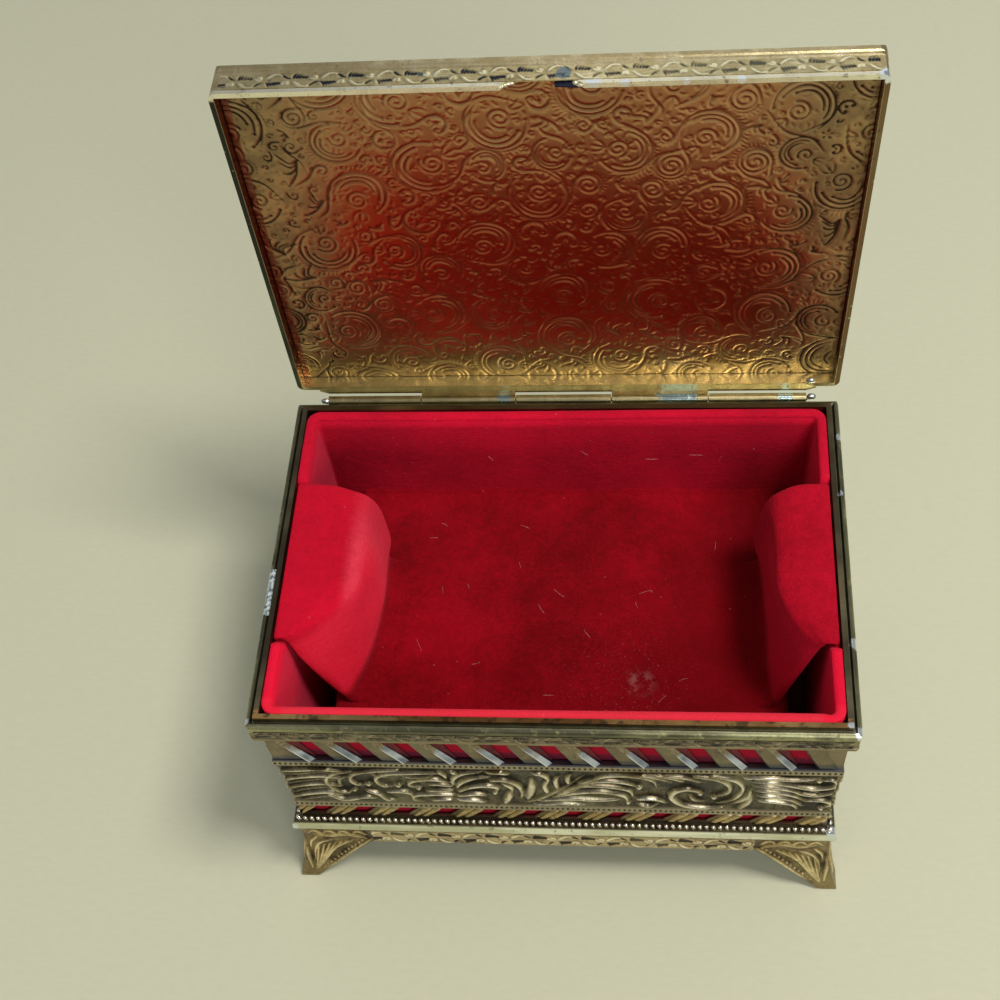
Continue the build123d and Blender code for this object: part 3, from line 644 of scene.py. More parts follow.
@dataclass(frozen=True)
class Velvet:
    """Short cotton pile in deep red, lighter where it is brushed, with painted light towards the mouth and a
    painted sheen where its side is seen.
    """

    name: str
    deep: Triple = (0.15, 0.0, 0.002)
    light: Triple = (0.36, 0.001, 0.010)
    lit_flush: Triple = (0.66, 0.004, 0.025)
    tint: Triple = (1.0, 0.05, 0.09)
    is_floor: bool = True

    def floor_coats(self, kit: Kit, colour: Value, share: Value, tufts: Value, swathes: Value) -> Value:
        """Painted light and shade on the two end tabs and the floor: a lit left face with a painted pink sheen
        along its fold, a darker right tab with a shaded belly, and painted shade on the right of the floor.
        """
        x, y, z = kit.axes()
        x, y = x + (tufts - 0.5) * 1.0, y + (swathes - 0.5) * 10.0
        # Painted sheen: pink along the left tab's fold, strongest towards the front
        fold = x.rise(-42.8, -38.5) * z.rise(45.0, 50.0) * x.rise(0.0, -1.0)
        fold = fold * (y.rise(9.0, -5.0) * 0.65 + 0.35) * (tufts * 0.8 + 0.5)
        face = z.rise(69.0, 65.5) * z.rise(45.0, 48.0)
        # Painted light: the left tab's face lit, the right one less so
        left = x.rise(-34.0, -36.0) * y.rise(6.0, -9.0) * face
        right = x.rise(37.5, 39.0) * y.rise(8.0, -6.0) * face
        for part, over in (
            ((fold * 0.70).held(), (0.92, 0.085, 0.13)),
            (left * 0.95, kit.mix(share, (0.80, 0.008, 0.034), (1.0, 0.024, 0.060))),
            # Painted shade: the right tab darker, with a darker strip on its belly, and the right wall's shadow
            # on the floor
            (x.rise(34.0, 37.0) * 0.62, kit.mix(share, self.deep, (0.52, 0.003, 0.020))),
            (right * 0.70, kit.mix(share, (0.46, 0.003, 0.020), (0.72, 0.008, 0.032))),
            (x.rise(35.0, 36.5) * x.rise(41.5, 39.5) * 0.45, (0.16, 0.0, 0.003)),
            ((x - y * 0.4).rise(12.0, 36.0) * z.rise(46.0, 44.0) * 0.55, self.deep),
        ):
            colour = colour.coat(part, over)
        return colour

    def lining_coats(self, kit: Kit, colour: Value) -> Value:
        """Painted shade on the outside behind the openings, near black low down, and painted light on the roll
        along the front and on the pleats in the front corners.
        """
        x, y, z = kit.axes()
        x = abs(x)
        # Painted shade on the lining's outside, behind the openings
        shaded_outside = (x - 53.2).most(abs(y - BOX_MIDDLE_Y) - 35.2).rise(0.0, 0.3) * z.rise(66.5, 65.5)
        # Painted shadow: near black low down on the outside
        low = shaded_outside * z.rise(55.2, 53.4) * z.rise(40.0, 42.0)
        # Painted light on the roll along the front and on the pleats in the front corners
        roll = y.rise(-36.8, -38.0) * z.rise(65.0, 66.5)
        lit_pleat = x.rise(49.2, 50.2) * y.rise(-22.5, -26.0) * z.rise(48.0, 58.0) * (1 - shaded_outside)
        colour = colour.coat(shaded_outside * 0.7, (0.34, 0.002, 0.016)).coat(low * 0.85, (0.030, 0.012, 0.026))
        return colour.coat(roll * 0.6, (0.95, 0.045, 0.070)).coat(lit_pleat * 0.7, (0.90, 0.008, 0.040))

    def build(self) -> bpy.types.Material:
        """Mixes two reds by brushed noise and woven rows, with painted light brighter towards the mouth, a
        painted sheen at grazing angles, lint and a stain.
        """
        kit = Kit(self.name)
        z = kit.axes()[2]
        swathes, tufts = kit.noise(34.0, 3.0, 0.6), kit.noise(900.0, 4.0, 0.7)
        pile = kit.noise(3800.0, 2.0, 0.6)
        rows = kit.noise(1500.0, 1.0, 0.4, (0.25, 0.25, 1.6))
        share = (swathes - 0.5) * 2.2 + (tufts - 0.5) * 1.0 + (pile - 0.5) * 1.3 + (rows - 0.5) * 0.4 + 0.5
        share = share.held()
        # Painted light: lighter towards the mouth, darker down in the box
        upper = (z + (swathes - 0.5) * 6.0).rise(44.0, 56.0) if self.is_floor else z.rise(56.0, 68.5)
        bright = kit.mix(share, tuple(0.62 * part for part in self.lit_flush), self.lit_flush)
        colour = kit.mix(share, self.deep, self.light).coat(upper, bright)
        if self.is_floor:
            colour = self.floor_coats(kit, colour, share, tufts, swathes)
        else:
            colour = self.lining_coats(kit, colour)
        # Painted sheen: pale pink where the surface is seen at a grazing angle
        painted_sheen = kit.node("ShaderNodeLayerWeight", {"Blend": 0.35}, "Facing")
        lint = kit.cells(420.0).rise(0.10, 0.02) * kit.noise(60.0).rise(0.50, 0.66) * 0.45
        colour = colour.coat(painted_sheen * painted_sheen * 0.45, (0.80, 0.05, 0.10)).coat(lint, (0.60, 0.22, 0.22))
        if self.is_floor:
            stain = kit.near((16.5, -19.0, 43.2, 4.4)) * kit.noise(620.0, 4.0, 0.7).rise(0.45, 0.62)
            dust = kit.near((13.0, -20.0, 43.2, 22.0)) * kit.noise(1900.0, 3.0, 0.7).rise(0.60, 0.70)
            colour = colour.coat((stain * 0.6).most(dust * 0.35), (0.36, 0.15, 0.14))
        return kit.finish(
            base_color=colour, roughness=0.95, specular_ior_level=0.12, sheen_weight=0.28, sheen_roughness=0.32,
            sheen_tint=self.tint, normal=kit.bump(pile + tufts * 0.8 + rows * 0.5, 0.22, 0.8),
        )


@dataclass(frozen=True)
class Plain:
    """Two colours mixed by fine noise: solder, the flanks' painted reflection, pits or lint."""

    name: str
    first: Triple
    second: Triple
    metallic: float = 1.0
    roughness: float = 0.32
    scale: float = 1200.0

    def build(self) -> bpy.types.Material:
        """Mixes the two colours, rougher where the first shows."""
        kit = Kit(self.name)
        patches = kit.noise(self.scale, 3.0, 0.6)
        colour = kit.mix(patches.rise(0.35, 0.65), self.first, self.second)
        rough = self.roughness + (1 - patches) * 0.15
        normal = kit.bump(patches, 0.05, 0.8)
        return kit.finish(base_color=colour, metallic=self.metallic, roughness=rough, normal=normal)


@dataclass(frozen=True)
class Fibres:
    """Matt card or floor: two near colours mixed by fibrous noise."""

    name: str
    first: Triple
    second: Triple
    grain: tuple[float, float, float]
    stretch: tuple[float, float, float]
    relief: float = 0.0
    gloss: float = 0.5

    def build(self) -> bpy.types.Material:
        """Mixes the two colours, with a little relief if it is asked for."""
        kit = Kit(self.name)
        fibres = kit.noise(*self.grain, self.stretch)
        if self.relief:
            kit.finish(normal=kit.bump(fibres, self.relief, 0.6))
        colour = kit.mix(fibres, self.first, self.second)
        return kit.finish(base_color=colour, roughness=0.95, specular_ior_level=self.gloss)


# Ornament


@dataclass
class Relief:
    """A flat patch of ornament: heights on a grid, on which round strokes are laid."""

    left: float
    bottom: float
    right: float
    top: float
    pitch: float
    heights: np.ndarray = field(init=False)

    def __post_init__(self) -> None:
        """Makes an empty grid."""
        rows = int(math.ceil((self.top - self.bottom) / self.pitch)) + 1
        columns = int(math.ceil((self.right - self.left) / self.pitch)) + 1
        self.heights = np.zeros((rows, columns))

    def stroke(self, line: np.ndarray, width: Numbers, rise: Numbers = 1.0) -> None:
        """Lays a round ridge along a line, or a pit where the rise is negative.

        Near each point of the line the height is its rise times one minus the square of the distance
        over the half width, and the highest of all points counts.

        Args:
            line: Points along the stroke, two numbers each.
            width: Full width at each point.
            rise: Height at each point.
        """
        steps = np.linalg.norm(np.diff(line, axis=0), axis=1)
        travelled = np.concatenate([[0.0], np.cumsum(steps)])
        at = np.linspace(0, travelled[-1], max(int(travelled[-1] / (self.pitch * 0.6)), 2))
        columns = [np.broadcast_to(part, len(line)) for part in (width, rise, line[:, 0], line[:, 1])]
        width, rise, u, v = (np.interp(at, travelled, part)[:, None] for part in columns)
        u, v = (u - self.left) / self.pitch, (v - self.bottom) / self.pitch
        half = np.maximum(width / 2 / self.pitch, 0.8)
        reach = int(math.ceil(half.max()))
        du, dv = (part.ravel() for part in np.meshgrid(*[np.arange(-reach, reach + 1)] * 2))
        column, row = np.round(u).astype(int) + du, np.round(v).astype(int) + dv
        bell = 1 - ((column - u) ** 2 + (row - v) ** 2) / half**2
        high, wide = self.heights.shape
        keep = (bell > 0) & (column >= 0) & (column < wide) & (row >= 0) & (row < high)
        lay = np.maximum if rise[0, 0] > 0 else np.minimum
        lay.at(self.heights, (row[keep], column[keep]), (rise * bell)[keep])

    def bud(self, centre: Sequence[float], size: float, rise: float = 1.0) -> None:
        """Lays a round bud."""
        point = np.asarray(centre, float)
        self.stroke(np.stack([point, point + 0.01]), size, rise)

    def flow(self, knots: Sequence, width: float, rise: float = 1.0, bud: float = 0.0) -> None:
        """Lays a lobe through knots, swelling past its middle, with a bud of a given size at its tip."""
        knots = np.asarray(knots, float).reshape(-1, 2)
        line = through(knots, 14 * len(knots))
        full = np.sin(np.pi * np.linspace(0.04, 1, len(line)) ** 0.8) ** 0.7
        self.stroke(line, width * (0.34 + 0.66 * full), rise * (0.6 + 0.4 * full))
        if bud:
            self.bud(line[-1], bud, rise)

    def lobes(self, rows: Sequence[Sequence[float]]) -> None:
        """Lays a lobe for each row of width, height, size of its bud, and knots."""
        for width, rise, bud, *knots in rows:
            self.flow(knots, width, rise, bud)

    def leaf(self, start: Sequence[float], end: Sequence[float], bend: float, width: float,
             rise: float = 1.0) -> None:
        """Lays a pointed leaf, widest before its middle and bowed to the left by a share of its length."""
        a = np.asarray(start, float)
        way = np.asarray(end, float) - a
        t = np.linspace(0, 1, 24)[:, None]
        line = a + way * t + np.array([-way[1], way[0]]) * bend * 4 * t * (1 - t) * (0.6 + 0.8 * t)
        full = np.sin(np.pi * t[:, 0] ** 0.75) ** 0.8
        self.stroke(line, 0.25 * width + 0.75 * width * full, rise * (0.55 + 0.45 * full))

    def arc(self, spot: Sequence[float], reach: Numbers, start: float, turns: float, width: Numbers,
            rise: Numbers = 1.0) -> np.ndarray:
        """Lays a line round a middle.

        Args:
            spot: Middle.
            reach: Distance from the middle, one number or one for each of 64 points.
            start: First angle in degrees.
            turns: Number of turns, negative to run clockwise.
            width: Width along the way.
            rise: Height along the way.

        Returns:
            The line.
        """
        angle = math.radians(start) + 2 * math.pi * turns * np.linspace(0, 1, 64)
        line = np.stack([spot[0] + reach * np.cos(angle), spot[1] + reach * np.sin(angle)], axis=1)
        self.stroke(line, width, rise)
        return line

    def curl(self, centre: Sequence[float], radius: float, turns: float, start: float, width: float,
             rise: float = 1.0) -> None:
        """Lays a scroll: an arc whose radius falls as a power of the way, down to a bud."""
        t = np.linspace(0, 1, 64)
        reach = radius * (0.12 + 0.88 * (1 - t) ** 0.85)
        line = self.arc(centre, reach, start, turns, width * (1 - 0.4 * t), rise)
        self.bud(line[-1], width * 1.2, rise)

    def fringe(self, spot: Sequence[float], reach: float, start: float, turns: float, length: float,
               width: float) -> None:
        """Lays a comb of short bowed strokes along an arc, each slanting the way the arc runs."""
        count = max(int(abs(turns) * 2 * math.pi * reach / (width * 1.7)), 2)
        hand = math.copysign(1.0, turns)
        for k in range(count):
            a = math.radians(start) + 2 * math.pi * turns * k / count
            b = a + hand * abs(length) * 0.9 / max(reach, 1.0)
            size = length * (0.6 + 0.4 * math.sin(math.pi * (k + 0.5) / count))
            self.leaf(toward(spot, reach, a), toward(spot, reach + size, b), 0.18 * hand, width, 0.85)

    def sampled(self, u: np.ndarray, v: np.ndarray) -> np.ndarray:
        """Height at any places, weighted between the four nearest grid points, and nought outside."""
        h = self.heights
        within = (u >= self.left) & (u <= self.right) & (v >= self.bottom) & (v <= self.top)
        column = np.clip((u - self.left) / self.pitch, 0, h.shape[1] - 1.001)
        row = np.clip((v - self.bottom) / self.pitch, 0, h.shape[0] - 1.001)
        c, r = column.astype(int), row.astype(int)
        a, b = column - c, row - r
        lower, upper = (h[k, c] * (1 - a) + h[k, c + 1] * a for k in (r, r + 1))
        return within * (lower * (1 - b) + upper * b)

    def softened(self, times: int = 1) -> "Relief":
        """Smooths the heights with a one-two-one filter both ways."""
        for _ in range(times):
            wide = np.pad(self.heights, 1, mode="edge")
            wide = (wide[:-2] + 2 * wide[1:-1] + wide[2:]) / 4
            self.heights = (wide[:, :-2] + 2 * wide[:, 1:-1] + wide[:, 2:]) / 4
        return self

    def outlined(self, share: float = 0.6) -> "Relief":
        """Copy for the finish, less a share of its own blur: ground beside a stroke falls below 0."""
        made = copy.copy(self).softened(9)
        made.heights = self.heights - share * made.heights
        return made


@dataclass
class ScrollField:
    """Dense field of scrolls and leaves of many sizes, packed as circles that touch and are tied by stems."""

    half_x: float
    half_y: float
    seed: int
    pitch: float
    line: float = 0.46
    sizes: tuple[tuple[float, int], ...] = (
        (6.4, 7), (5.0, 16), (4.0, 30), (3.1, 60), (2.4, 110), (1.8, 220), (1.3, 420), (0.95, 500),
    )

    def __post_init__(self) -> None:
        """Starts an empty relief and a seeded source of random numbers."""
        self.relief = Relief(-self.half_x, -self.half_y, self.half_x, self.half_y, self.pitch)
        self.source = np.random.default_rng(self.seed)

    def circles(self) -> np.ndarray:
        """Rows of x, y and radius: circles packed from large to small, each at a free place."""
        found = np.zeros((0, 3))
        for radius, most in self.sizes:
            for _ in range(most * 12):
                reaches = self.half_x + radius * 0.5, self.half_y + radius * 0.5
                x, y = (self.source.uniform(-reach, reach) for reach in reaches)
                apart = np.hypot(found[:, 0] - x, found[:, 1] - y) - found[:, 2]
                if apart.min(initial=math.inf) > radius * 0.9:
                    found = np.vstack([found, [x, y, radius * self.source.uniform(0.86, 1.04)]])
        return found

    def motif(self, radius: float) -> Callable:
        """Method that fills a circle of a size, drawn at random for all but the largest and smallest."""
        draw = self.source.uniform()
        if radius > 3.7:
            return self.whorl
        if radius <= 1.15:
            return self.comma
        chances = (0.36, 0.66, 1.0) if radius > 2.0 else (0.30, 0.56, 0.86)
        for chance, motif in zip(chances, (self.scroll, self.cee, self.plume)):
            if draw < chance:
                return motif
        return self.flower

    def draw(self) -> Relief:
        """Lays a motif in each circle, stems between neighbours, and small leaves on bare ground."""
        found = self.circles()
        for x, y, radius in found:
            self.motif(radius)((x, y), radius, self.source.uniform(0, 360), self.source.choice([-1.0, 1.0]))
        self.stems(found[found[:, 2] > 1.5])
        self.fill()
        return self.relief.softened()

    def whorl(self, spot: Sequence[float], radius: float, start: float, hand: float) -> None:
        """Nested arcs that open like a leaf, each ending in a bud, with a scroll inside and flames outside."""
        t = np.linspace(0, 1, 64)
        for k, (reach, turns) in enumerate(((0.94, 0.66), (0.77, 0.50), (0.62, 0.34))):
            shape = radius * (reach - 0.16 * smooth_step(0.55, 1.0, t) * (1 - 0.2 * k))
            width = self.line * (0.8 + 0.6 * np.sin(np.pi * t))
            line = self.relief.arc(spot, shape, start + hand * 22 * k, hand * turns, width)
            self.relief.bud(line[-1], self.line * 1.7)
        self.relief.fringe(spot, radius, start + hand * 70, hand * 0.3, radius * 0.24, self.line * 0.9)
        a = math.radians(start - hand * 60)
        inner = toward(spot, radius * 0.16, a)
        self.relief.curl(inner, radius * 0.36, -hand * max(radius * 0.28, 0.9), start + hand * 160, self.line)
        b = a - hand * 0.3
        foot = toward(spot, radius * 0.55, b)
        for k in (-1, 0, 1):
            self.relief.leaf(foot, toward(foot, radius * 0.45, b + k * 0.5), 0.15 * k, self.line * 0.9, 0.9)

    def scroll(self, spot: Sequence[float], radius: float, start: float, hand: float) -> None:
        """Spiral whose lines lie about two line widths apart, a tail and flames along its back."""
        self.relief.curl(spot, radius * 0.84, hand * max(radius / 1.5, 1.1), start, self.line * 1.05)
        a = math.radians(start)
        edge = toward(spot, radius * 0.84, a)
        tail = toward(edge, radius * 0.9, a - hand * math.pi / 2)
        self.relief.leaf(edge, tail, 0.2 * hand, self.line * 1.1, 0.9)
        comb = radius * 0.26 + 0.25
        self.relief.fringe(spot, radius * 0.86, start + hand * 60, hand * 0.45, comb, self.line * 0.75)

    def cee(self, spot: Sequence[float], radius: float, start: float, hand: float) -> None:
        """Arc of 210 degrees, swollen in its middle, a curl at each end and a fan of petals."""
        width = self.line * (0.75 + 0.75 * np.sin(np.pi * np.linspace(0, 1, 64)))
        line = self.relief.arc(spot, radius * 0.9, start, hand * 0.58, width)
        size = radius * 0.3
        for end, way in ((line[0], -1.0), (line[-1], 1.0)):
            to_middle = np.asarray(spot) - end
            centre = end + to_middle / np.linalg.norm(to_middle) * size
            angle = math.degrees(math.atan2(-to_middle[1], -to_middle[0]))
            self.relief.curl(centre, size, way * hand * 0.95, angle, self.line * 0.9)
        middle = math.radians(start) + hand * 0.58 * math.pi
        foot = toward(spot, radius * 0.55, middle)
        for k in (-1, 0, 1):
            tip = toward(foot, radius * (0.85 - 0.15 * abs(k)), middle + math.pi + k * 0.55)
            self.relief.leaf(foot, tip, -0.12 * k, self.line * 0.95, 0.85)
        comb = radius * 0.2 + 0.2
        self.relief.fringe(spot, radius * 0.98, start + hand * 50, hand * 0.3, comb, self.line * 0.7)

    def plume(self, spot: Sequence[float], radius: float, start: float, hand: float) -> None:
        """Four to six nested lobes, each a bowed line longer than the last, curling at its tip."""
        a = math.radians(start)
        along, across = np.array([math.cos(a), math.sin(a)]), np.array([-math.sin(a), math.cos(a)]) * hand
        foot = np.asarray(spot) - along * radius
        for t in np.linspace(0, 1, int(np.clip(radius * 1.4, 3, 6))):
            reach = radius * (0.9 + 1.0 * t)
            tip = foot + along * reach * (0.35 + 0.65 * t) + across * radius * (1.0 - 1.25 * t)
            middle = foot + along * reach * 0.55 + across * radius * (0.25 - 0.55 * t)
            hook = tip + across * radius * 0.16 - along * radius * 0.1
            self.relief.flow([foot, middle, tip, hook], self.line * 1.25, 0.95)

    def flower(self, spot: Sequence[float], radius: float, start: float, hand: float) -> None:
        """Petals round a bud."""
        petals = 5 if radius < 2.2 else 6
        for k in range(petals):
            a = 2 * math.pi * k / petals + math.radians(start)
            self.relief.leaf(toward(spot, radius * 0.3, a), toward(spot, radius, a), 0.1, radius * 0.5, 0.85)
        self.relief.bud(spot, radius * 0.42)

    def comma(self, spot: Sequence[float], radius: float, start: float, hand: float) -> None:
        """Small curl of about one turn."""
        self.relief.curl(spot, radius * 0.8, hand * self.source.uniform(0.7, 1.15), start, self.line * 0.9)

    def stems(self, found: np.ndarray) -> None:
        """Ties each circle to its nearest neighbour by an S line that leaves one and meets the other."""
        gap = np.hypot(found[:, None, 0] - found[:, 0], found[:, None, 1] - found[:, 1])
        gap = gap - found[:, None, 2] - found[:, 2] + np.eye(len(found)) * 99
        for a, b in zip(found, found[gap.argmin(1)]):
            way = (b[:2] - a[:2]) / np.linalg.norm(b[:2] - a[:2])
            across = np.array([-way[1], way[0]])
            knots = [a[:2] + across * a[2] * 0.95, a[:2] + way * a[2] * 0.8 + across * a[2] * 0.45,
                     b[:2] - way * b[2] * 0.8 - across * b[2] * 0.45, b[:2] - across * b[2] * 0.95]
            self.relief.flow(knots, self.line * 1.1, 0.95)

    def fill(self) -> None:
        """Puts small curls, and leaves in smaller gaps, on ground that is still bare."""
        around = np.linspace(0, 2 * math.pi, 11)[:-1]
        for free, tries in ((0.9, 2600), (0.5, 7000)):
            for _ in range(tries):
                x, y = (self.source.uniform(-half, half) for half in (self.half_x, self.half_y))
                u, v = x + free * np.cos(around), y + free * np.sin(around)
                if self.relief.sampled(np.append(u, x), np.append(v, y)).max() > 0.05:
                    continue
                a = self.source.uniform(0, 2 * math.pi)
                if free > 0.8:
                    turns = self.source.choice([-0.9, 0.9])
                    self.relief.curl((x, y), 0.66, turns, math.degrees(a), self.line * 0.8, 0.9)
                else:
                    reach = self.source.uniform(0.35, 0.7)
                    ends = toward((x, y), -reach, a), toward((x, y), reach, a)
                    self.relief.leaf(*ends, 0.25, self.line * 0.75, 0.75)


@dataclass
class Skin:
    """A closed skin over a smooth surface, lifted by a relief along the outward direction."""

    piece: Piece
    place: Callable[[np.ndarray, np.ndarray], np.ndarray]
    outward: np.ndarray
    relief: Relief
    depth: float
    bed: float = 0.06
    sunk: float = 0.12
    flat: bool = False

    def make(self, u: np.ndarray, v: np.ndarray, along: np.ndarray | None = None) -> bpy.types.Object:
        """Builds the skin on a grid.

        The front is the surface plus the outward direction times the bed plus the depth times the
        relief, and the back is the surface sunk by a small amount.

        Args:
            u: Grid of first surface parameters.
            v: Grid of second surface parameters.
            along: Where the relief is read, if not at u.

        Returns:
            The object.
        """
        along = u if along is None else along
        base = self.place(u, v)
        lifted = self.bed + self.depth * self.relief.sampled(along, v)
        build = plate if self.flat else shell
        points, faces = build(base + self.outward * lifted[..., None], base - self.outward * self.sunk)
        tone = self.relief.outlined().sampled(along, v)
        lift = np.zeros(len(points))
        lift[: tone.size] = tone.ravel()
        return self.piece.make(points, faces, lift)


# Sub-assemblies


@dataclass
class Rinceau:
    """Acanthus ornament of the hollow band, drawn from left to right above the band's lower edge."""

    half: float
    tall: float
    pitch: float = 0.2
    # Width, height, size of the bud, and knots of each lobe
    lobes: tuple[tuple[float, ...], ...] = (
        # On the left: hooks with buds, waves along the foot and commas
        (1.5, 1.0, 1.8, -40.2, 15.4, -43.8, 14.2, -46.0, 10.6, -45.0, 6.2, -42.6, 4.8, -40.9, 6.2),
        (1.5, 0.8, 0.0, -43.6, 8.2, -43.2, 11.0, -41.4, 12.6),
        (1.7, 1.0, 0.0, -46.8, 3.4, -43.6, 1.6, -39.2, 2.8, -37.0, 2.0),
        (1.5, 1.0, 1.9, -30.6, 16.6, -35.6, 16.2, -39.6, 14.4, -41.0, 11.0, -39.8, 8.6, -37.6, 9.0),
        (1.1, 0.8, 0.0, -36.6, 14.4, -34.2, 13.0, -32.6, 13.4),
        (1.6, 1.0, 1.9, -22.4, 15.6, -28.4, 15.4, -33.4, 14.6, -35.8, 11.4, -34.6, 8.2, -31.6, 8.6),
        (1.2, 0.8, 0.0, -30.0, 13.0, -27.0, 12.8, -24.0, 13.4),
        (1.5, 1.0, 0.0, -38.6, 5.6, -36.2, 4.4, -35.0, 2.0, -33.0, 1.2),
        (1.5, 1.0, 0.0, -34.4, 5.2, -31.6, 5.8, -29.6, 4.8, -29.6, 2.0),
        (1.6, 1.0, 1.6, -21.2, 10.6, -24.0, 12.2, -27.8, 11.4, -29.4, 9.0, -27.6, 7.4),
        (1.4, 0.95, 0.0, -20.6, 8.8, -23.2, 9.6, -25.6, 8.8),
        (1.5, 0.95, 0.0, -20.8, 6.6, -24.0, 6.6, -26.4, 5.6),
        (1.6, 1.0, 0.0, -21.0, 4.4, -24.6, 4.8, -28.4, 4.2, -29.2, 2.2, -27.4, 1.0),
        (1.3, 1.0, 0.0, -21.4, 2.4, -24.0, 2.4, -25.8, 1.4),
        # In the middle: plume that leans right, commas, two upright leaves and the sprig's stem
        (1.7, 1.0, 0.0, -20.4, 9.4, -20.0, 12.6, -17.8, 15.6, -14.0, 16.6),
        (1.7, 1.0, 0.0, -19.8, 8.0, -18.4, 11.0, -15.6, 13.4, -12.6, 13.6),
        (1.7, 1.0, 1.6, -19.6, 6.0, -16.8, 8.6, -13.6, 9.4, -11.6, 8.2, -12.2, 6.0),
        (1.6, 1.0, 0.0, -20.0, 4.2, -16.8, 5.2, -13.8, 4.6),
        (1.5, 1.0, 0.0, -20.2, 2.4, -17.0, 2.4, -14.4, 1.4),
        (1.3, 1.0, 0.0, -22.6, 16.6, -21.6, 14.6, -21.4, 12.2),
        (1.0, 1.0, 0.0, -20.2, 16.8, -19.0, 15.2),
        (1.5, 1.0, 0.0, -13.0, 16.6, -10.8, 16.8, -8.6, 15.4),
        (1.8, 1.0, 0.0, -12.6, 11.8, -10.2, 12.6, -7.8, 10.6, -6.8, 6.8, -7.2, 3.0),
        (1.2, 0.8, 0.0, -10.4, 10.2, -8.8, 8.2, -8.8, 5.6),
        (2.1, 1.0, 0.0, -10.6, 1.2, -9.6, 4.0, -9.2, 6.4),
        (2.5, 1.0, 0.0, -5.8, 3.4, -4.8, 8.0, -4.4, 13.2),
        (1.5, 1.0, 0.0, -4.0, 16.4, -2.4, 16.2, -1.2, 13.4, -1.8, 9.6),
        (0.9, 0.8, 0.0, -6.0, 1.6, -2.0, 4.6, 2.2, 9.6, 6.2, 15.8),
        (1.5, 1.0, 0.0, -3.6, 2.6, 2.2, 4.0, 8.0, 3.6, 12.6, 3.6),
        (1.2, 0.9, 0.0, -4.6, 0.9, 0.6, 1.6, 6.0, 0.9),
        # On the right: long arching lobes, large scroll and hooks
        (1.8, 1.0, 1.4, -0.6, 4.6, 4.6, 7.0, 9.4, 7.6, 13.4, 5.8, 14.4, 2.6),
        (1.7, 1.0, 0.0, 1.6, 7.6, 5.6, 10.4, 10.0, 10.4, 14.4, 8.6, 15.4, 5.2),
        (1.6, 1.0, 1.9, 5.0, 11.0, 9.0, 13.2, 13.2, 12.6, 16.6, 10.0),
        (1.7, 1.0, 0.0, 7.4, 13.4, 11.0, 16.2, 15.6, 16.2, 19.2, 13.8, 20.0, 9.8),
        (1.3, 1.0, 0.0, 11.6, 16.6, 16.4, 17.0, 21.0, 14.8, 23.0, 12.2),
        (1.4, 1.0, 0.0, 17.2, 16.8, 21.8, 16.2, 25.4, 13.0),
        (1.4, 1.0, 0.0, 21.4, 16.8, 25.4, 16.0, 28.6, 12.8),
        (1.3, 1.0, 0.0, 16.2, 4.2, 18.2, 4.8, 20.6, 4.2, 22.0, 2.4),
        (1.2, 0.9, 0.0, 16.4, 2.0, 18.6, 1.2, 20.6, 2.4),
        (1.9, 1.0, 0.0, 28.4, 8.4, 26.0, 9.6, 23.8, 8.2, 23.0, 5.2, 25.2, 2.2, 29.2, 1.0, 33.4, 1.4),
        (1.1, 0.8, 0.0, 26.6, 6.4, 27.4, 4.6, 29.6, 3.6),
        (1.8, 1.0, 1.9, 27.2, 16.4, 31.4, 15.4, 34.0, 12.0, 34.0, 8.4, 31.4, 6.0),
        (1.5, 1.0, 0.0, 30.6, 16.8, 35.0, 14.8, 36.8, 10.6, 35.6, 5.8, 32.0, 2.8),
        (1.4, 1.0, 0.0, 38.4, 9.8, 37.8, 6.2, 35.0, 2.8),
        (2.2, 1.0, 0.0, 36.6, 1.2, 38.2, 4.4, 38.6, 8.0),
        (1.4, 1.0, 0.0, 36.8, 16.2, 41.6, 16.5, 46.6, 15.6, 51.2, 16.4),
        (1.5, 1.0, 1.7, 46.0, 12.4, 50.4, 11.2, 54.2, 12.6, 53.8, 15.6, 51.0, 15.4),
        (1.5, 1.0, 0.0, 46.8, 9.0, 51.0, 8.0, 55.2, 9.4),
        (1.4, 1.0, 1.6, 49.0, 5.4, 52.6, 5.6, 54.4, 3.8, 52.6, 2.0),
    )

    def draw(self) -> Relief:
        """Lays the lobes, the fans at both corners, a laurel sprig and a faint slanted grain."""
        band = Relief(-self.half, 0.0, self.half, self.tall, self.pitch)
        band.lobes(self.lobes)
        for k, (y, tip) in enumerate(((15.4, 14.6), (11.6, 9.8), (7.6, 5.6), (3.4, 1.6))):
            x = -42.4 - 0.5 * k
            band.flow([x, y + 0.2, -46.4, y + 1.5, -50.8, y + 0.5, -55.4, tip], 1.8)
            band.flow([x - 1.2, y - 1.7, -47.0, y - 0.9, -51.2, y - 2.1, -54.0, tip - 2.0], 0.8, 0.7)
        for k, (y, tip) in enumerate(((14.0, 9.0), (11.7, 6.6), (9.4, 4.4), (7.1, 2.4), (4.8, 1.0))):
            knots = [38.6 + 0.4 * k, y, 42.6, y - 0.1, 46.6, (y + tip) / 2 + 0.7, 51.6 - 0.9 * k, tip]
            band.flow(knots, 1.45)
        for x, y, dx, dy in ((-1.6, 6.0, 0.4, 6.4), (0.6, 8.2, 0.6, 6.8), (2.8, 11.0, 0.8, 5.2),
                             (0.2, 5.6, 4.6, 2.6), (2.6, 8.6, 4.6, 2.8), (4.6, 11.4, 4.0, 2.4)):
            band.leaf((x, y), (x + dx, y + dy), 0.1, 1.7)
        band.bud((28.6, 7.6), 1.7)
        for x in -self.half + 0.9 * np.arange(int(self.half * 2 / 0.9)):
            band.stroke(np.array([[x, 0.3], [x + 0.25, self.tall - 0.3]]), 0.34, 0.06)
        return band.softened()


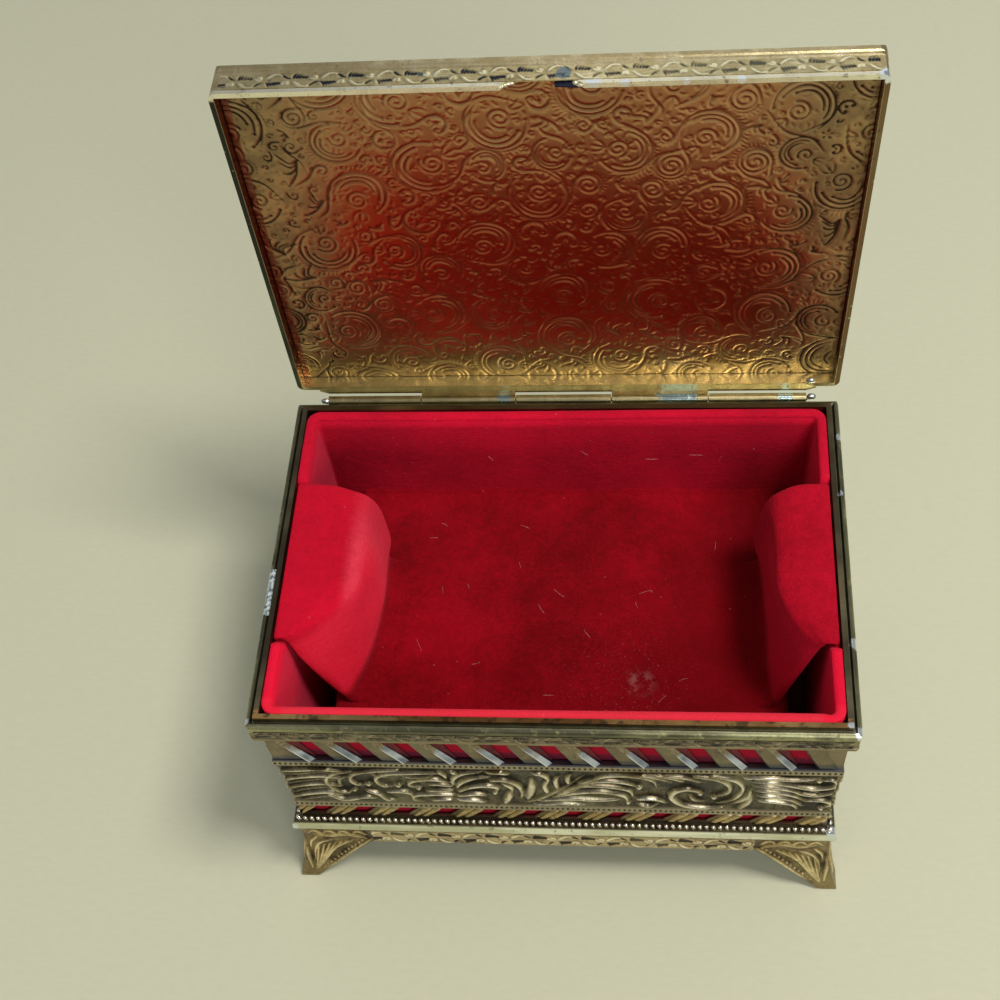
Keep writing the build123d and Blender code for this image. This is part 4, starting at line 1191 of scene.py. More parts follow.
@dataclass
class LeafBorder:
    """Running leaf border: a waving stem with leaves in each bend and small pits between them."""

    half: float
    tall: float
    period: float
    pitch: float

    def draw(self) -> Relief:
        """Lays a low stem as a sine wave, and in each bend a leaf, a small curl and a comb of fine pits."""
        border = Relief(-self.half, 0.0, self.half, self.tall, self.pitch)
        step = self.period / 2
        bends = [(-self.half + k * step, 1.0 if k % 2 else -1.0) for k in range(int(2 * self.half / step) + 1)]

        def spot(x: float, along: float, up: float) -> tuple[float, float]:
            """Place beside the stem, by shares of a bend and of the height."""
            return x + step * along, self.tall / 2 + up * self.tall

        for x, up in bends:
            for part in range(5):
                along = 0.06 + 0.105 * part
                tip = spot(x, along + 0.10, up * (0.46 - 0.05 * part))
                border.leaf(spot(x, along, up * 0.10), tip, 0.15, self.tall * 0.15, -1.0)
            border.leaf(spot(x, 0.62, -up * 0.40), spot(x, 0.98, -up * 0.12), 0.1 * up, self.tall * 0.13, -0.9)
        s = np.arange(-self.half, self.half, 0.25)
        wave = self.tall / 2 + self.tall * 0.17 * np.sin(2 * math.pi * s / self.period)
        border.stroke(np.stack([s, wave], axis=1), self.tall * 0.08, 0.2)
        for x, up in bends:
            border.leaf(spot(x, 0.05, -up * 0.06), spot(x, 0.62, -up * 0.36), -up * 0.22, self.tall * 0.2, 0.9)
            border.curl(spot(x, 0.80, up * 0.2), self.tall * 0.17, up, 200, self.tall * 0.12, 0.9)
        return border.softened()


@dataclass
class BeadRow:
    """Row of small beads along the four sides."""

    name: str
    out: float
    height: float
    pitch: float
    size: tuple[float, float, float]
    margin: float

    def make(self, material: bpy.types.Material) -> bpy.types.Object:
        """Sets beads along each side, from corner to corner at an even pitch."""
        points, faces = bead()
        shapes = []
        for side in Side:
            reach = side.half + self.out - self.margin
            run = np.linspace(-reach, reach, int(round(2 * reach / self.pitch)) + 1)
            along = side.place(1.0, 0.0, 0.0) - side.place(0.0, 0.0, 0.0)
            axes = np.stack([along, side.outward, [0.0, 0.0, 1.0]]) * np.array(self.size)[:, None]
            shapes += [(points @ axes + origin, faces) for origin in side.place(run, self.out, self.height)]
        return Piece(self.name, "box", material, 80.0).make(*joined_shapes(shapes))


@dataclass
class Walls:
    """Pierced walls: acanthus band, dotted ridges, cushioned bars whose flanks carry a painted reflection and
    painted highlights, and the pearl row.
    """

    band_low: float = 32.4
    band_high: float = 49.6
    band_outs: tuple[float, float, float] = (0.65, 0.4, 0.95)
    upper_pitch: float = 9.3
    upper_shift: float = -0.8
    upper_middle: float = 58.7
    upper_lean: float = math.tan(math.radians(22.0))
    lower_pitch: float = 8.85
    lower_shift: float = -1.2
    lower_middle: float = 27.4
    lower_lean: float = math.tan(math.radians(40.0))

    def band(self, side: Side, relief: Relief, material: bpy.types.Material) -> None:
        """Lays the acanthus relief over the hollow band of one side, a parabola in section."""
        low, hollow, high = self.band_outs
        tall = self.band_high - self.band_low

        def place(s: np.ndarray, t: np.ndarray) -> np.ndarray:
            """Point of the hollow band."""
            share = t / tall
            out = low + (high - low) * share - ((low + high) / 2 - hollow) * 4 * share * (1 - share)
            return side.place(s, out, t + self.band_low)

        reach = side.half + 0.35
        u, v = grid(-reach, reach, 0.15, tall - 0.15, 0.21)
        piece = Piece("acanthus_band_" + side.label, "box", material)
        Skin(piece, place, side.outward, relief, 1.0).make(u, v, u if side.long else u + 17.0)

    def upper(self, side: Side, finishes: "Finishes") -> None:
        """Lays a cushion on each upper bar, a matt plate painted with the lining's red reflection on its right
        flank and a blade with a painted highlight across both.
        """
        count = 11 if side.long else 7
        a, b = unit_grid(11, 13)
        puff = 0.36 * (1 - (2 * a - 1) ** 4) * (1 - (2 * b - 1) ** 10)
        puff = puff + 0.22 * np.exp(-(((a - 0.06) / 0.05) ** 2))
        crest = 0.20 * np.exp(-(((a - 0.08) / 0.07) ** 2)) + 0.14 * np.exp(-(((a - 0.94) / 0.06) ** 2))

        def strip(low: Numbers, wide: Numbers, height: np.ndarray, front: np.ndarray, back: Numbers) -> Shape:
            """Slanted strip between two distances outward."""
            run = low + wide * a - self.upper_lean * (height - self.upper_middle)
            run = np.clip(run, -side.half - 0.5, side.half + 0.5)
            return shell(side.place(run, front, height), side.place(run, back, height))

        cushions, flanks, blades = [], [], []
        for k in range(-1, count):
            centre = (k - (count - 1) / 2) * self.upper_pitch + self.upper_shift
            ahead = centre + self.upper_pitch
            left, right = max(centre + 2.33, -side.half - 0.3), min(ahead - 3.37, side.half + 0.3)
            cushions.append(strip(left, right - left, 52.35 + 12.6 * b, 0.88 + puff, 0.7))
            if k < count - 1:
                flanks.append(strip(ahead - 3.34, 1.56, 52.5 + 12.4 * b, 0.94 - 0.9 * a, 0.7 - 0.9 * a))
                out = 1.38 - 0.72 * a * (1 - 0.5 * b) + crest
                blades.append(strip(ahead - 2.95 - 1.5 * b, 1.25 - 0.12 * b, 52.15 + 9.4 * b, out, 0.25))
        Piece("bars_upper_" + side.label, "box", finishes.bars, 60.0).make(*joined_shapes(cushions))
        # Painted reflection: the flank plates stand for the red lining mirrored in the bevel
        Piece("flank_reflections_" + side.label, "box", finishes.red_reflection, 60.0).make(*joined_shapes(flanks))
        # Lift that lays the blade's painted highlight along its raised edges
        edges = np.tile(np.append(crest / 0.2, 0 * crest), len(blades))
        Piece("blades_" + side.label, "box", finishes.blade, 60.0).make(*joined_shapes(blades), edges)

    def lower(self, side: Side, material: bpy.types.Material) -> None:
        """Lays two leaf ridges on each lower bar."""
        count = 12 if side.long else 8
        a, b = unit_grid(9, 11)
        height = 25.35 + 4.3 * b
        narrow = 0.5 + (a - 0.5) * (1 - 0.45 * (1 - b) ** 2)
        puff = 0.55 * np.sqrt(np.clip(1 - (2 * a - 1) ** 2, 0, 1)) * (1 - (2 * b - 1) ** 6)
        wide = self.lower_pitch - 4.9
        shapes = []
        for k in range(-1, count):
            left = (k - (count - 1) / 2) * self.lower_pitch + self.lower_shift + 2.45
            for low in (left + wide * 0.02, left + wide * 0.52):
                run = low + wide * 0.46 * narrow + self.lower_lean * (height - self.lower_middle)
                run = np.clip(run, -side.half - 0.4, side.half + 0.4)
                shapes.append(shell(side.place(run, 0.7 + puff, height), side.place(run, 0.6, height)))
        Piece("bars_lower_" + side.label, "box", material, 60.0).make(*joined_shapes(shapes))

    def make(self, finishes: "Finishes") -> None:
        """Builds the ornament of all four walls."""
        relief = Rinceau(56.0, self.band_high - self.band_low).draw()
        for side in Side:
            self.band(side, relief, finishes.ornament)
            self.upper(side, finishes)
            self.lower(side, finishes.leaves)
        BeadRow("upper_dots", 1.27, 50.95, 1.05, (0.27, 0.10, 0.42), 0.5).make(finishes.pits)
        BeadRow("lower_dots", 0.97, 31.0, 1.05, (0.27, 0.10, 0.40), 0.5).make(finishes.pits)
        BeadRow("pearls", 1.5, 24.62, 1.39, (0.52, 0.52, 0.6), 0.2).make(finishes.pearls)


@dataclass(frozen=True)
class Strip:
    """Measures of one engraved leaf border; margins run outward from the corner of the mouth."""

    name: str
    low: float
    high: float
    out: float
    lean: float
    margin: float
    drawn_margin: float
    period: float
    drawn_pitch: float
    pitch: float
    depth: float
    bed: float

    def make(self, side: Side, body: str, material: bpy.types.Material) -> None:
        """Lays the border on one side, turned open if it rides on the lid."""

        def place(s: np.ndarray, t: np.ndarray) -> np.ndarray:
            """Point of the strip."""
            points = side.place(s, self.out - self.lean * t, t + self.low)
            return opened(points) if body == "lid" else points

        pivot = np.array([0.0, HINGE_Y, HINGE_Z])
        outward = opened(side.outward + pivot) - pivot if body == "lid" else side.outward
        reach, tall = side.half + self.margin, self.high - self.low
        relief = LeafBorder(side.half + self.drawn_margin, tall, self.period, self.drawn_pitch).draw()
        piece = Piece(self.name + "_border_" + side.label, body, material)
        skin = Skin(piece, place, outward, relief, self.depth, self.bed, 0.1, True)
        skin.make(*grid(-reach, reach, 0.0, tall, self.pitch))


@dataclass
class Borders:
    """Engraved leaf borders on the rim strip, the aprons and the lid's skirt."""

    rim: Strip = Strip("rim", 64.4, 67.05, 2.3, 0.0, 1.3, 2.0, 11.0, 0.12, 0.17, 0.16, 0.17)
    apron: Strip = Strip("apron", 14.9, 20.0, 2.2, 0.2 / 5.6, -13.5, -12.5, 10.2, 0.14, 0.2, 0.26, 0.27)
    lid: Strip = Strip("lid", 70.5, 74.2, 2.75, 0.0, 1.4, 3.0, 9.6, 0.14, 0.18, 0.115, 0.13)

    def make(self, finishes: "Finishes") -> None:
        """Builds a border on each side of the base, and of the rim and the lid but for the hinge side."""
        strips = ((self.rim, "box", finishes.rim_border), (self.apron, "box", finishes.border),
                  (self.lid, "lid", finishes.lid_border))
        for side in Side:
            for strip, body, material in strips:
                if strip is self.apron or side is not Side.REAR:
                    strip.make(side, body, material)


@dataclass
class Feet:
    """Acanthus wings of the bracket feet."""

    waist: tuple[float, float] = (9.0, 2.7)
    bow: tuple[float, float] = (7.4, 7.2)
    rail_bottom: float = 20.3
    apron_bottom: float = 14.7
    pad: float = 3.2
    lobes: tuple[tuple[float, ...], ...] = (
        (1.1, 0.9, 0.0, 0.6, 15.2, 4.0, 11.6, 7.8, 7.6, 11.6, 3.6, 14.6, 0.8),
        (2.2, 0.85, 0.0, 2.4, 16.2, 6.0, 17.6, 9.6, 16.6, 12.8, 17.6),
        (0.9, 1.0, 0.0, 9.6, 14.6, 12.0, 13.4, 13.8, 10.4, 14.6, 6.0),
        (0.9, 1.0, 0.0, 12.6, 15.8, 14.2, 13.6, 14.8, 10.6),
        (1.2, 1.0, 0.0, 15.6, 0.5, 15.9, 10.0, 15.7, 20.2),
    )

    def flare(self, height: np.ndarray) -> np.ndarray:
        """Outward offset of the wing: the arc through rail, waist and edge as a parabola."""
        heights, outs = np.array([(0.9, 5.0), self.waist, (self.rail_bottom, 2.0)]).T
        return np.polyval(np.polyfit(heights, outs, 2), np.maximum(height, 0.9))

    def inner_edge(self, side: Side, height: np.ndarray) -> np.ndarray:
        """Run of the wing's curved inner edge: the circle through its top, bow and toe."""
        inner = side.half + 2.0 - FOOT_REACH
        bow = inner + self.bow[0]
        toe = side.half + 5.0 - self.pad
        cx, cy, radius = circle_through((inner, self.apron_bottom), (bow, self.bow[1]), (toe, 0.0))
        under = np.clip(radius**2 - (np.minimum(height, self.apron_bottom) - cy) ** 2, 0, None)
        return np.where(height >= self.apron_bottom, inner, cx + np.sign(bow - cx) * np.sqrt(under))

    def ornament(self) -> Relief:
        """Scalloped leaf under the rail, flowing lobes to the toe, a beaded vein and a corner rib."""
        relief = Relief(0.0, 0.0, 17.0, 21.0, 0.14)
        relief.lobes(self.lobes)
        for k in range(15):
            relief.bud((1.8 + 0.92 * k, 15.6 - 1.02 * k), 0.72, 1.05)
        for k in range(4):
            x = 1.4 + 3.2 * k
            relief.flow([x, 17.4, x + 1.6, 19.6, x + 3.2, 17.4], 0.9, 0.95)
        first = np.array([4.8, 14.6, 8.8, 11.4, 11.8, 6.8, 14.0, 2.8])
        step = np.array([1.35, -0.5, 0.9, -1.0, 0.55, -0.85, 0.22, -0.3])
        for k in range(7):
            relief.flow(first + step * k, 0.85)
        return relief.softened()

    def wing(self, side: Side, end: float, relief: Relief, material: bpy.types.Material) -> None:
        """Lays the ornament over one wing, thinning it towards the toe."""

        def run_of(share: np.ndarray, height: np.ndarray) -> np.ndarray:
            """Run of a place given as a share of the way from the inner edge to the corner."""
            inner = self.inner_edge(side, height)
            return inner + (side.half + self.flare(height) - 0.12 - inner) * share

        def place(share: np.ndarray, height: np.ndarray) -> np.ndarray:
            """Point of the flared wing, drawn in a little at its outermost edge."""
            out = self.flare(height) - 0.72 * smooth_step(7.0, 0.5, height)
            return side.place(end * run_of(share, height), out, height)

        u, v = unit_grid(84, 110)
        v = 0.15 + (self.rail_bottom - 0.25) * v
        piece = Piece("wing_" + side.label + ("_low" if end < 0 else "_high"), "box", material)
        along = run_of(u, v) - (side.half + 2.0 - FOOT_REACH)
        Skin(piece, place, side.outward, relief, 0.55, 0.05, 0.3).make(u, v, along)

    def make(self, finishes: "Finishes") -> None:
        """Builds two wings for each of the four feet."""
        relief = self.ornament()
        for side in Side:
            for end in (-1.0, 1.0):
                self.wing(side, end, relief, finishes.wings)


@dataclass
class Lid:
    """Embossed sheets inside and on top of the lid."""

    liner_half_x: float = 55.85
    liner_half_y: float = 37.85
    liner_face: float = 72.28
    liner_pitch: float = 0.19
    top_half_x: float = 55.5
    top_half_y: float = 37.5
    top_border: float = 4.0
    top_seat: float = 77.0
    top_rise: float = 0.9
    top_depth: float = 0.34
    top_pitch: float = 0.36

    def under(self, x: np.ndarray, y: np.ndarray) -> np.ndarray:
        """Point of the liner's field, with the lid open."""
        return opened(np.stack([x, y + BOX_MIDDLE_Y, np.full_like(x, self.liner_face)], axis=-1))

    def over(self, x: np.ndarray, y: np.ndarray) -> np.ndarray:
        """Point of the top sheet below its relief, with the lid open: a border and a raised field."""
        inset = np.minimum(self.top_half_x - abs(x), self.top_half_y - abs(y))
        raised = (self.top_rise - self.top_depth) * smooth_step(self.top_border, self.top_border + 0.9, inset)
        return opened(np.stack([x, y + BOX_MIDDLE_Y, self.top_seat + raised], axis=-1))

    def make(self, finishes: "Finishes") -> None:
        """Builds the scroll fields inside and outside the lid, the inner one in three parts."""
        relief = ScrollField(self.liner_half_x, self.liner_half_y, 11, self.liner_pitch).draw()
        third = self.liner_half_x / 3
        for name, middle in (("left", -2 * third), ("middle", 0.0), ("right", 2 * third)):
            u, v = grid(middle - third, middle + third, -self.liner_half_y, self.liner_half_y, self.liner_pitch)
            piece = Piece("scroll_liner_" + name, "lid", finishes.liner)
            Skin(piece, self.under, np.array([0.0, -1.0, 0.0]), relief, -0.24, 0.28, 0.1, True).make(u, v)
        inset = self.top_border + 1
        relief = ScrollField(self.top_half_x - inset, self.top_half_y - inset, 23, 0.25, 0.6).draw()
        u, v = grid(-self.top_half_x, self.top_half_x, -self.top_half_y, self.top_half_y, self.top_pitch)
        piece = Piece("scroll_top", "lid", finishes.top)
        skin = Skin(piece, self.over, np.array([0.0, 1.0, 0.0]), relief, self.top_depth, 0.0, 0.8, True)
        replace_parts(skin.make(u, v), "lid_top")


@dataclass
class Lining:
    """Velvet band inside the walls, with a soft rolled top that sinks under the floor's end tabs."""

    half_x: float = 53.6
    half_y: float = 35.6
    corner: float = 2.6
    thickness: float = 1.95
    low: float = 22.4
    high: float = 69.85
    tab_front: float = -19.6
    tab_rear: float = 17.4
    tab_drop: float = 2.0
    bulge: float = 0.34

    def round_the_mouth(self) -> tuple[np.ndarray, np.ndarray]:
        """Points along the mouth's straight sides and rounded corners, and their outward directions."""
        corners = []
        for cx, cy, start in ((1, -1, -90), (1, 1, 0), (-1, 1, 90), (-1, -1, 180)):
            a = np.radians(start + np.linspace(0, 90, 12))
            spokes = np.stack([np.cos(a), np.sin(a)], axis=1)
            middle = np.array([cx * (self.half_x - self.corner), cy * (self.half_y - self.corner)])
            corners.append(np.hstack([middle + spokes * self.corner, spokes]))
        t = np.linspace(0, 1, 92)[1:-1, None]
        rows = []
        for here, ahead in zip(corners, corners[1:] + corners[:1]):
            rows += [here, here[-1] + (ahead[0] - here[-1]) * t]
        return tuple(np.hsplit(np.concatenate(rows), 2))

    def make(self, finishes: "Finishes") -> None:
        """Carries the band's rounded section round the mouth, with slight waves in its face."""
        path, spokes = self.round_the_mouth()
        half = self.thickness / 2
        roll = np.radians(np.linspace(0, 180, 16))
        inward = np.concatenate([np.zeros(20), half - half * np.cos(roll), np.full(20, 2 * half)])
        rises = np.linspace(self.low, self.high - half, 20)
        full = np.sin(roll) ** np.where(roll < math.pi / 2, 0.25, 0.9)
        height = np.concatenate([rises, self.high - half + half * full, rises[::-1]])
        s = np.arange(len(path))[:, None] * 0.027
        wave = 0.17 * np.sin(s * 1.7 + height * 0.08) * np.sin(height * 0.11 + s * 0.31)
        inner, top = smooth_step(0.4, 1.0, inward / (2 * half)), smooth_step(62.0, 68.0, height)
        reach = inward * (1 - 0.10 * smooth_step(58.0, 69.6, height)) + wave * inner
        reach = np.minimum(reach, 2.15) - self.bulge * top * (1 - inner)
        flat = path[:, None] - spokes[:, None] * reach[..., None]
        x, y = path[:, :1], path[:, 1:]
        between = smooth_step(-0.7, 0, y - self.tab_front) * smooth_step(0.7, 0, y - self.tab_rear)
        under = (abs(x) > 50) * between
        rolled = height + (0.14 * np.sin(s * 2.3) - 0.14) * top - under * self.tab_drop * top
        rings = np.concatenate([flat, rolled[..., None]], axis=-1) + [0.0, BOX_MIDDLE_Y, 0.0]
        made = Piece("velvet_lining", "box", finishes.lining, 180.0, "red_velvet").make(*ring(rings))
        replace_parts(made, "lining_band")


@dataclass
class Saddle:
    """Raised velvet floor whose ends turn up into two rolled tabs that hook over the lining."""

    wall: float = 51.35
    hook: float = 2.22
    floor_half_x: float = 46.4
    floor_front: float = -38.2
    floor_rear: float = 29.0
    floor_low: float = 40.55
    floor_high: float = 43.0
    tab_front: float = -24.3
    tab_rear: float = 12.1
    thickness: float = 1.8
    left_rear: tuple[float, ...] = (13.4, 14.6, 14.4, 12.4, 8.2)
    left_front: tuple[float, ...] = (8.4, 5.8, 2.8, 1.5, 0.6)
    right_rear: tuple[float, ...] = (9.8, 11.3, 10.9, 9.0, 6.2)
    right_front: tuple[float, ...] = (8.4, 6.8, 4.3, 2.4, 1.2)

    def profile(self, shape: Sequence[float], count: int) -> np.ndarray:
        """Line of a tab's face from its hook on the lining over the crown and down on to the floor.

        Args:
            shape: Distances of the face from the lining at foot, belly, shoulder, turn and crown.
            count: Number of points.

        Returns:
            Rows of distance from the lining and height.
        """
        foot, belly, shoulder, turn, crown = shape
        return through(np.array([
            [-self.hook, 69.3], [-self.hook + 0.7, 69.66], [crown * 0.4, 69.7], [crown, 69.3], [turn, 67.5],
            [shoulder, 61.1], [belly, 52.2], [foot, 46.2], [foot + 1.1, 43.9], [foot + 4.2, 42.95],
        ]), count)

    def tab(self, hand: float, front: Sequence[float], rear: Sequence[float]) -> Shape:
        """One tab: a cloth-covered card with rounded edges carried along its face line.

        Each point is the face line, blended from the front shape to the rear one across the tab,
        moved back along its normal by a share of the thickness; the section's ends are half rounds,
        and the rear end draws forward below the crown, so that its corner is round.

        Args:
            hand: -1 for the left tab and 1 for the right one.
            front: Shape at the front end.
            rear: Shape at the rear end.

        Returns:
            Points and faces.
        """
        count, half = 84, self.thickness / 2
        ahead, behind = self.profile(front, count), self.profile(rear, count)
        turn, flat = np.radians(np.linspace(-90, 90, 11)), np.linspace(0, 1, 42)[1:-1]
        low, high = self.tab_front + half, self.tab_rear - half
        across = np.concatenate([high + half * np.cos(turn), high + (low - high) * flat,
                                 low - half * np.cos(turn), low + (high - low) * flat])
        back = np.concatenate([half + half * np.sin(-turn), 0 * flat,
                               half + half * np.sin(turn), 0 * flat + 2 * half])
        share = np.clip((across - self.tab_front) / (self.tab_rear - self.tab_front), 0, 1)
        quick = 1 - (1 - np.minimum(share / 0.42, 1)) ** 2
        if hand < 0:
            share = 1 - (1 - np.minimum(share / 0.66, 1)) ** 2
        else:
            share = 0.66 * (1 - (1 - share) ** 2) + 0.34 * smooth_step(0.66, 0.95, share)
        step = np.linspace(0, 1, count)[:, None]
        upper = smooth_step(0.66, 0.40, step)
        share = (quick * upper + share * (1 - upper))[..., None]
        line = ahead[:, None] * (1 - share) + behind[:, None] * share
        way = np.gradient(line, axis=0)
        way /= np.linalg.norm(way, axis=-1, keepdims=True)
        inward = np.stack([way[..., 1], -way[..., 0]], axis=-1)
        soft = 0.10 * np.sin(line[..., 1] * 0.5 + across * 0.35) * smooth_step(0.2, 0.4, step)
        set_back = back * (1 - 0.47 * smooth_step(0.38, 0.14, step)) + soft * (back < half)
        out, height = np.moveaxis(line + inward * set_back[..., None], -1, 0)
        drawn = 1.3 * smooth_step(0.22, 0.44, step) * smooth_step(self.tab_rear - 6.0, self.tab_rear, across)
        x = hand * (self.wall - np.maximum(out, -self.hook))
        return tube(np.stack([x, across - drawn, np.clip(height, 41.0, 69.8)], axis=-1))

    def pad(self) -> Shape:
        """Floor pad with rounded front and ends, a slight crown and dimples, rolled up along the rear wall."""
        u, v = (2 * part - 1 for part in unit_grid(130, 110))
        x, y = u * self.floor_half_x, v * (self.floor_rear - self.floor_front) / 2
        y = y + (self.floor_front + self.floor_rear) / 2
        inset = np.minimum(np.minimum(self.floor_half_x - abs(x), y - self.floor_front), 1.1)
        roll = 1.1 - np.sqrt(np.clip(1.1**2 - (1.1 - inset) ** 2, 0, None))
        crown = 0.35 * (1 - u**4) * (1 - v**4)
        dimple = 0.20 * np.sin(x * 0.21 + 1.0) * np.sin(y * 0.17)
        cove = 2.6 * (1 - np.sqrt(1 - (1 - np.minimum((self.floor_rear - y) / 4.5, 1)) ** 2))
        top = self.floor_high - roll * 0.9 + crown - 0.2 + dimple + cove
        return shell(np.stack([x, y, top], axis=-1), np.stack([x, y, 0 * x + self.floor_low], axis=-1))

    def make(self, finishes: "Finishes") -> None:
        """Builds the floor pad and its two tabs as one piece."""
        left = self.tab(-1.0, self.left_front, self.left_rear)
        right = self.tab(1.0, self.right_front, self.right_rear)
        shape = joined_shapes([self.pad(), left, right])
        made = Piece("velvet_floor", "box", finishes.floor, 180.0, "red_velvet").make(*shape)
        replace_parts(made, "floor_saddle")


@dataclass
class Lint:
    """Fine pale hairs that lie on the velvet."""

    seed: int = 5
    hairs: int = 26
    radius: float = 0.022

    def make(self, finishes: "Finishes") -> None:
        """Carries a six-sided ring along a bowed line for each hair: on the floor, or on the rear wall."""
        source = np.random.default_rng(self.seed)
        t = np.linspace(-0.5, 0.5, 12)
        turn = 2 * math.pi * np.arange(6) / 6
        c, s = np.cos(turn), np.sin(turn)
        sides = np.stack([c, s, c * 0.4 + s * 0.5], axis=1) * self.radius
        shapes = []
        for k in range(self.hairs):
            length = source.uniform(0.7, 3.0)
            a, bow = source.uniform(0, 2 * math.pi), source.uniform(-0.35, 0.35)
            u = length * (t * math.cos(a) - bow * (0.25 - t * t) * math.sin(a))
            v = length * (t * math.sin(a) + bow * (0.25 - t * t) * math.cos(a))
            if k % 5 == 0:
                x, z = source.uniform(-40, 44), source.uniform(56, 65)
                line = np.stack([x + u, 0 * t + 28.35, z + v * 0.6], axis=1)
            else:
                x, y = source.uniform(-30, 34), source.uniform(-33, 20)
                line = np.stack([x + u, y + v, 0 * t + 43.28], axis=1)
            shapes.append(tube(line[:, None] + sides))
        Piece("lint", "box", finishes.lint, 180.0, "red_velvet").make(*joined_shapes(shapes))


@dataclass
class Solders:
    """Lumps of solder at the hinge, the torn edge of the lid's notch and a bare scrape on the rim."""

    body: tuple[tuple[float, ...], ...] = (
        (-51.0, 35.2, 67.8, 1.0, 0.6, 0.6), (51.4, 35.6, 67.8, 0.9, 0.6, 0.6),
    )
    lid: tuple[tuple[float, ...], ...] = ((51.2, 37.96, 69.75, 1.0, 0.42, 0.8),)
    notch_half: float = 7.1
    notch_floor: float = 2.8
    notch_depth: float = 3.1
    notch_low: float = 69.15
    last_left: int = 24
    first_right: int = 34

    def lumps(self, name: str, body: str, spots: Sequence, material: bpy.types.Material) -> None:
        """Squashes one bead into each lump, by its middle and half sizes, and roughens it with sine waves."""
        points, faces = bead(5)
        x, y, z = points.T
        shapes = []
        for k, spot in enumerate(spots):
            rough = 1 + 0.16 * np.sin(x * 5 + k) * np.sin(y * 6 + 2 * k) + 0.1 * np.sin(z * 9 + k)
            shapes.append((points * rough[:, None] * spot[3:] + spot[:3], faces))
        Piece(name, body, material, 180.0, "pin_steel").make(*joined_shapes(shapes))

    def torn_edge(self) -> list[list[float]]:
        """Lumps along the notch, whose edge runs up an arc, along its floor and down again."""
        source = np.random.default_rng(3)
        middle = (self.notch_half + self.notch_floor) / 2 - 0.3
        runs = np.array([self.notch_half + 0.6, middle, self.notch_floor])
        rises = self.notch_depth * np.array([0.0, 0.6, 1.0])
        at = np.linspace(0, 5, 40)
        run = np.interp(at, np.arange(6), [*-runs, *runs[::-1]]) + source.uniform(-0.15, 0.15, 40)
        rise = np.interp(at, np.arange(6), [*rises, *rises[::-1]]) + source.uniform(-0.18, 0.12, 40)
        sizes = source.uniform(0.20, 0.52, (40, 3)) * [1.6, 0.9, 1.0]
        height = np.maximum(self.notch_low + rise, self.notch_low + 0.07 + 1.27 * sizes[:, 2])
        y = BOX_MIDDLE_Y - HALF_Y - LID_OVERHANG + 0.62
        return np.hstack([opened(np.stack([run, 0 * run + y, height], axis=1)), sizes]).tolist()

    def bent_plate(self) -> Shape:
        """Small plate bent down beside the notch."""
        run, height = np.array([[[2.0, 72.3], [2.2, 69.9]], [[4.6, 71.7], [7.9, 69.4]]]).transpose(2, 0, 1)
        bent = opened(np.stack([run, 0 * run + BOX_MIDDLE_Y - HALF_Y - 2.2, height], axis=-1))
        return shell(bent, bent - [0.0, 0.0, 0.3])

    def scraped_crest(self) -> Shape:
        """Thin skin with a wavy outline over the rim's crest on the left."""
        u, v = unit_grid(46, 15)
        run = 3.4 + 10.6 * u + 0.25 * np.sin(v * 5)
        middle_out, middle_height, reach = circle_through((2.3, 67.2), (2.62, 68.5), (1.7, 69.2))
        angle = np.radians(118 - 92 * v + 3.0 * np.sin(u * 21) * np.sin(u * 9 + 1))
        return shell(*(
            Side.LEFT.place(run, middle_out + far * np.cos(angle), middle_height + far * np.sin(angle))
            for far in (reach + 0.06, reach - 0.1)
        ))

    def make(self, finishes: "Finishes") -> None:
        """Builds the lumps, the torn edge, the bent plate beside it and the scrape over the rim's crest."""
        torn = self.torn_edge()
        self.lumps("solder_body", "box", self.body, finishes.solder)
        self.lumps("solder_lid", "lid", self.lid, finishes.solder)
        self.lumps("torn_edge", "lid", torn[: self.last_left], finishes.torn)
        self.lumps("torn_end", "lid", torn[self.first_right :], finishes.torn)
        # Near-black blue plate bent down beside the notch
        Piece("bent_edge", "lid", finishes.near_black).make(*self.bent_plate())
        Piece("scrape", "box", finishes.scrape, slot="pin_steel").make(*self.scraped_crest())


